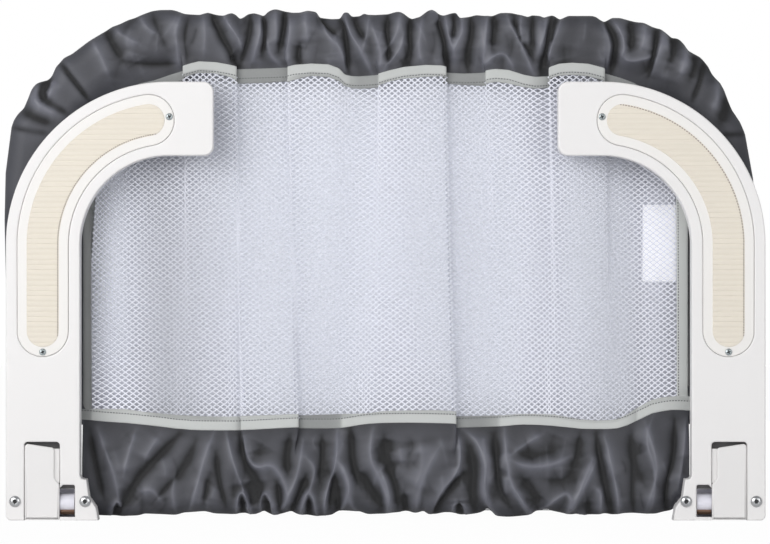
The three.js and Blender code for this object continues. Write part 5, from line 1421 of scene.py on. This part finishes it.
# The front ribbons' light: less in the deep pleats, and less on the third that is sewn to the net. The pleats'
# depths are where they start to darken and where they are darkest.
tapeLight = {
    "sewnPlaces": (60, 130, 150, 205, 215, 290, 300, 345, 355, 711),
    "sewnDark": (0.15, 0.15, 0.5, 0.5, 0.2, 0.2, 0.45, 0.45, 0.25, 0.25), "sewnFrom": (0.62, 0.78),
    "pleatDark": 0.75, "topPleats": (4.0, 8.6), "lowPleats": (7.2, 8.6), "top": 0.8,
    "lowPlaces": (60, 67.5, 69.5), "low": (0.3, 0.4, 0.9), "depthPlaces": (625, 640), "deepest": (9, 7),
    "leftEdge": 0.04, "leftMiddle": 0.26,
}
acrossShare = np.concatenate([[0], np.linspace(0, 1, tape["rows"]), [1]])[:, None]
sewnDark = np.interp(places, tapeLight["sewnPlaces"], tapeLight["sewnDark"])
sewn = 1 - sewnDark * smoothStep(*tapeLight["sewnFrom"], acrossShare)
lowDepth = np.minimum(knots[:, 8], np.interp(places, tapeLight["depthPlaces"], tapeLight["deepest"]))
lowOpen = np.interp(places, tapeLight["lowPlaces"], tapeLight["low"])
topPleats = smoothStep(*tapeLight["topPleats"], knots[:, 4])
lowPleats = smoothStep(*tapeLight["lowPleats"], lowDepth)
ribbonLight = {
    "top": tapeLight["top"] * sewn * (1 - tapeLight["pleatDark"] * topPleats),
    "bottom": lowOpen * sewn * (1 - tapeLight["pleatDark"] * lowPleats),
}
for name, outer, inner, depthColumn, flips in (
    ("top", [0, 1], [2, 3], 4, (False, True)), ("bottom", [5, 6], [5, 7], 8, (True, False)),
):
    title = name.capitalize()
    clothPiece(
        f"tape{title}Ribbons",
        [
            ribbonPoints(knots[:, outer], knots[:, inner], knots[:, depthColumn]),
            ribbonPoints(plainKnots[:, outer], plainKnots[:, inner], backDepth, -1),
        ],
        (ribbonLight[name], tape["backLight"]), flips,
        "tape", "tape_" + name, 0.9,
    )
# Sides: across and down of the outer edge, then of the inner one, and the depth.
sideLines = {
    "right": [
        (684.6, 146, 674.6, 149, 5.0), (687.2, 185, 676.4, 185, 4.6), (687.6, 280, 677, 280, 4.4),
        (687.8, 386, 677, 386, 4.6), (688, 399.5, 677.4, 399.5, 9.4),
    ],
    "left": [
        (83.6, 146, 92.5, 149, 6.9), (82.6, 185, 91, 185, 6.9), (82.6, 280, 91.2, 280, 6.9),
        (82.8, 395, 91.6, 395, 6.9), (82.8, 411, 91.8, 411, 8.6),
    ],
}
# The left ribbon is in the arm's shadow.
sideLight = {
    "right": 1.0, "left": tapeLight["leftEdge"] + tapeLight["leftMiddle"] * np.sin(np.pi * acrossShare),
}
for sideName, line in sideLines.items():
    run = rounded(evenRun(line, 1.0)[0], 1.0, 4.0)
    backRun = run.copy()
    backRun[:, 4] = tape["sideBackDepth"]
    if sideName == "left":
        backRun[:, [0, 2]] += tape["leftBackShift"]
    clothPiece(
        "tapeSideRibbons_" + sideName,
        [ribbonPoints(r[:, 0:2], r[:, 2:4], r[:, 4], toward) for r, toward in ((run, 1), (backRun, -1))],
        (sideLight[sideName], tape["backLight"]), (sideName == "left", sideName == "right"),
        "tape", "tape_side_" + sideName, 0.3,
        "frame_" + sideName,
    )
print("tape made")

# Net: knots on a staggered lattice, a strand of three sides between neighbours, a small pad on each knot.
# It lies a little behind the tapes and sways between them. Its flat cut is tall by its surface over tall and
# fullness, because the strands stand up from the cloth.
net = {
    "across": 3.48, "down": 2.68, "strand": 0.62, "shortest": 1.2, "rise": 0.38, "padWide": 1.35,
    "padTall": 1.25, "padRise": 1.0, "top": 56.0, "low": 426.0, "behind": 1.0, "sway": 1.4, "inside": 0.012,
    "swayLong": 11.0, "swayTurn": 2.2, "tall": 0.34, "fullness": 1.2,
}
netBack = {"depth": 22.6, "wave": 0.9, "waveLong": 8.0, "waveTurn": 2, "rows": 90}
# How plainly the cells show at places along the cloth, by the top, half way down and by the bottom, and the
# light there.
clearTop = np.array([
    (60, 0), (112, 0.2), (118, 0.8), (130, 1), (165, 0.95), (200, 0.8), (225, 0.45), (245, 0.25), (262, 0.4),
    (282, 0.6), (320, 0.6), (335, 0.5), (352, 0.3), (368, 0.4), (385, 0.7), (400, 0.8), (425, 0.6), (440, 0.4),
    (455, 0.25), (470, 0.3), (490, 0.5), (505, 0.5), (518, 0.8), (530, 0.95), (560, 0.8), (575, 0.4),
    (600, 0.35), (620, 0.4), (640, 0.9), (711, 0.9),
])
clearMiddle = np.array([
    (60, 0), (95, 0.1), (108, 0.3), (118, 0.6), (150, 0.55), (170, 0.6), (200, 0.45), (240, 0.25), (270, 0.08),
    (330, 0.05), (350, 0.28), (385, 0.4), (402, 0.4), (415, 0.1), (440, 0.02), (470, 0), (485, 0.18),
    (505, 0.3), (520, 0.55), (550, 0.6), (570, 0.2), (610, 0.18), (630, 0.5), (645, 0.85), (711, 0.8),
])
clearLow = np.array([
    (60, 1), (130, 0.95), (150, 0.5), (165, 0.3), (185, 0.5), (205, 0.7), (235, 0.6), (255, 0.45), (275, 0.3),
    (300, 0.18), (330, 0.08), (345, 0.3), (360, 0.5), (390, 0.8), (405, 0.8), (425, 0.6), (445, 0.25),
    (470, 0.15), (490, 0.4), (515, 0.8), (540, 0.9), (560, 0.7), (585, 0.5), (605, 0.2), (625, 0.4),
    (640, 0.9), (711, 1),
])
netLight = np.array([
    (60, 1.1), (95, 1.12), (110, 1.05), (122, 0.96), (140, 0.86), (160, 0.8), (178, 0.86), (200, 0.93),
    (240, 1.03), (390, 1.05), (420, 1.02), (490, 1.04), (530, 1.01), (570, 0.99), (600, 0.94), (640, 0.9),
    (655, 0.94), (711, 1.05),
])


clear = {"upper": 0.5, "lower": 0.55, "lowerReach": 0.4, "steepPlaces": (112, 124), "steepness": (2.5, 1)}


# How plainly the net's cells show: from the top's share to the middle's and on to the bottom's, which comes in
# later by the left arm.
def clearness(place, share):
    steep = np.interp(place, clear["steepPlaces"], clear["steepness"])
    upper = np.clip(1 - share / clear["upper"], 0, 1)
    lower = np.clip((share - clear["lower"]) / clear["lowerReach"], 0, 1) ** steep
    middle = np.interp(place, *clearMiddle.T) * (1 - upper - lower)
    return np.interp(place, *clearTop.T) * upper + middle + np.interp(place, *clearLow.T) * lower


# Where the cloth between the tapes is, at places along it and heights as seen: a straight line from the
# top tape to the bottom one. Also gives the share of the way down.
def netAt(place, down):
    k = pleatsAt(place)
    share = (down - k[..., 3]) / (k[..., 7] - k[..., 3])
    across = k[..., 2] * (1 - share) + k[..., 5] * share
    depth = k[..., 4] * (1 - share) + k[..., 8] * share + net["behind"]
    wave = np.sin(np.pi * np.clip(share, 0, 1)) * np.sin(place / net["swayLong"] + net["swayTurn"] * share)
    return across, depth + net["sway"] * wave, share


# Knots in columns at even lengths of cloth and rows at even heights. Every other one, between the tapes, is a
# knot of the net. Also gives how plainly its cells show and its light.
def netLattice():
    fine = np.arange(clothEnds[0], clothEnds[1] + 0.01, 0.5)
    k = pleatsAt(fine)
    length = (lengthsAlong(k[:, [2, 4]]) + lengthsAlong(k[:, [5, 8]])) / 2
    columns = int(length[-1] / net["across"])
    place = np.interp(np.arange(columns) * net["across"], length, fine)
    down = np.arange(net["top"], net["low"], net["down"])
    i, j = np.meshgrid(np.arange(columns), np.arange(len(down)), indexing="ij")
    across, depth, share = netAt(place[i], down[j])
    x, z = fromPhoto(across, down[j], depth)
    inside = (share > -net["inside"]) & (share < 1 + net["inside"]) & ((i + j) % 2 == 0)
    plainness, light = clearness(place[i], share), np.interp(place[i], *netLight.T)
    return np.stack([x, depth, z], axis=-1), inside, plainness, light


# The starts and stops of the strands both ways across the lattice, for any array over it.
def strandEnds(values, falling, rising):
    starts = np.concatenate([values[:-1, :-1][falling], values[1:, :-1][rising]])
    return starts, np.concatenate([values[1:, 1:][falling], values[:-1, 1:][rising]])


# Strands are prisms of three sides and pads are four-sided pyramids, in one mesh of triangles. The second UV
# value says how plainly the cells show.
def netMesh():
    knot, inside, plainness, light = netLattice()
    falling, rising = inside[:-1, :-1] & inside[1:, 1:], inside[1:, :-1] & inside[:-1, 1:]
    starts, stops = strandEnds(knot, falling, rising)
    toward = np.array([0, -1.0, 0])
    beside = np.cross(stops - starts, toward)
    beside = beside / np.maximum(np.linalg.norm(beside, axis=1, keepdims=True), net["shortest"]) * net["strand"]
    section = [beside, -beside, toward * net["rise"] + beside * 0]
    strands = np.stack([end + s for end in (starts, stops) for s in section], axis=1)
    wide, tall = net["padWide"], net["padTall"]
    pads = knot[inside][:, None] + np.array([
        (wide, 0, 0), (0, 0, tall), (-wide, 0, 0), (0, 0, -tall), toward * net["padRise"],
    ])
    triangles = []
    for count, first, shapes in (
        (len(strands), 0, ((0, 2, 5), (2, 1, 4), (1, 0, 3), (0, 5, 3), (2, 4, 5), (1, 3, 4))),
        (len(pads), strands.shape[0] * 6, ((0, 1, 4), (1, 2, 4), (2, 3, 4), (3, 0, 4))),
    ):
        base = np.arange(count)[:, None] * (6 if first == 0 else 5) + first
        triangles += [base + np.array(shape) for shape in shapes]
    points = np.concatenate([strands.reshape(-1, 3), pads.reshape(-1, 3)])
    shown, lit = (
        np.concatenate([np.repeat(strandEnds(values, falling, rising)[0], 6), np.repeat(values[inside], 5)])
        for values in (plainness, light)
    )
    uv = np.stack([points[:, 0] * toMetres, shown], axis=1)
    return meshFrom("netStrands", points, np.concatenate(triangles)[:, ::-1], uv, smooth=False, shade=lit)


mesh = netMesh()
flat = (net["tall"], round(surfaceArea(mesh) / net["tall"] / net["fullness"], 3))
settleCloth("netFrontStrands", mesh, "netStrand", "net_front", flat)
print("net:", len(mesh.polygons), "triangles")

# The net's back layer is a plain sheet, and its tones are partly painted shade seen through the front net's
# cells.
places = np.arange(clothEnds[0], clothEnds[1] + 0.01, 2.0)
share = np.linspace(0, 1, netBack["rows"])[:, None]
k = pleatsAt(places, 5.0)
across = k[None, :, 2] * (1 - share) + k[None, :, 5] * share
down = k[None, :, 3] * (1 - share) + k[None, :, 7] * share
wave = np.sin(places / netBack["waveLong"] + netBack["waveTurn"] * share) * np.sin(np.pi * share)
depth = netBack["depth"] + netBack["wave"] * wave
x, z = fromPhoto(across, down, depth)
uv = np.stack([places[None] * toMetres + share * 0, clearness(places, share)], axis=-1)
light = np.interp(places, *netLight.T)[None] + share * 0
mesh = meshFrom("netBackSheet", np.stack([x, depth, z], axis=-1), gridFaces(*x.shape), uv, shade=light)
flat = (net["tall"], surfaceArea(mesh) / net["tall"])
settleCloth("netBackSheet", mesh, "netBehind", "net_back", flat)

# Blank label, sewn in on one side: edges as seen, and two shallow waves
label = {
    "left": 642.6, "right": 676.2, "top": 205.0, "low": 281.5, "depth": 14.6, "light": 0.85,
    "acrossWave": 0.5, "acrossTurn": 3.0, "downWave": 0.4, "downTurn": 4.0,
}
share = np.linspace(0, 1, 25)
across = label["left"] + (label["right"] - label["left"]) * share
down = label["top"] + (label["low"] - label["top"]) * share
across, down = np.meshgrid(across, down)
acrossWave = label["acrossWave"] * np.sin(share * label["acrossTurn"])
downWave = label["downWave"] * np.sin(share * label["downTurn"])
depth = label["depth"] + acrossWave[None] + downWave[:, None]
x, z = fromPhoto(across, down, depth)
clothPiece(
    "labelCloth", [np.stack([x, depth, z], axis=-1)], [label["light"]], [False],
    "labelCloth", "label_right", 0.077, "frame_right",
)
print("net and label made")

# Light, floor and backdrop
lamps = {
    "keyLamp": {"place": (-1.6, -2.3, 1.1), "target": (0, 0, 0.25), "size": (2.4, 1.8), "power": 53},
    "fillLamp": {"place": (1.5, -2.2, 0.6), "target": (0, 0, 0.22), "size": (1.8, 1.4), "power": 16},
    "backLamp": {"place": (0.5, 2.4, 0.4), "target": (0, 0, 0.25), "size": (1.2, 0.8), "power": 22},
}
for name, lamp in lamps.items():
    holder = bpy.data.objects.new(name, bpy.data.lights.new(name, "AREA"))
    bpy.context.scene.collection.objects.link(holder)
    holder.data.shape = "RECTANGLE"
    holder.data.size, holder.data.size_y = lamp["size"]
    holder.data.energy = lamp["power"]
    holder.location = lamp["place"]
    holder.rotation_euler = (Vector(lamp["target"]) - Vector(lamp["place"])).to_track_quat("-Z", "Y").to_euler()

# The backdrop is white to the camera and a dim, slightly blue sky to everything else.
world = bpy.data.worlds.new("studio")
bpy.context.scene.world = world
world.use_nodes = True
tree = world.node_tree
tree.nodes.clear()
leave = addNode(tree, "OutputWorld", (400, 0))
lit = addNode(tree, "Background", (0, 100), {"Strength": 0.4, "Color": (0.96, 0.975, 1.0, 1)})
seen = addNode(tree, "Background", (0, -100), {"Strength": 1.0, "Color": (1, 1, 1, 1)})
rays = addNode(tree, "LightPath", (-200, 300))
mix = addNode(tree, "MixShader", (200, 0))
join(
    tree, (rays, "Is Camera Ray", mix, "Fac"), (lit, "Background", mix, 1), (seen, "Background", mix, 2),
    (mix, "Shader", leave, "Surface"),
)


# The floor shows white where it is lit and keeps a light shadow under the rail.
def floorFinish():
    material, tree, shader = shaderTree("paleFloor")
    shader.inputs["Base Color"].default_value = (0.85, 0.85, 0.85, 1)
    shader.inputs["Roughness"].default_value = 0.9
    shine = addNode(tree, "Emission", (0, -200), {"Strength": 1.0})
    mix = addNode(tree, "MixShader", (300, 0))
    rays = addNode(tree, "LightPath", (-200, 300))
    share = addNode(tree, "Math", (0, 300), {1: 0.97}, operation="MULTIPLY")
    join(
        tree, (rays, "Is Camera Ray", share, 0), (share, "Value", mix, "Fac"), (shader, "BSDF", mix, 1),
        (shine, "Emission", mix, 2), (mix, "Shader", tree.nodes["Material Output"], "Surface"),
    )
    return material


far = 6000
corners = [(-far, -far, 0), (far, -far, 0), (far, far, 0), (-far, far, 0)]
floor = linkedObject("floor", meshFrom("floor", corners, [(0, 1, 2, 3)], smooth=False))
floor.data.materials.append(floorFinish())

bpy.context.scene.view_settings.view_transform = "Standard"
print("scene made")
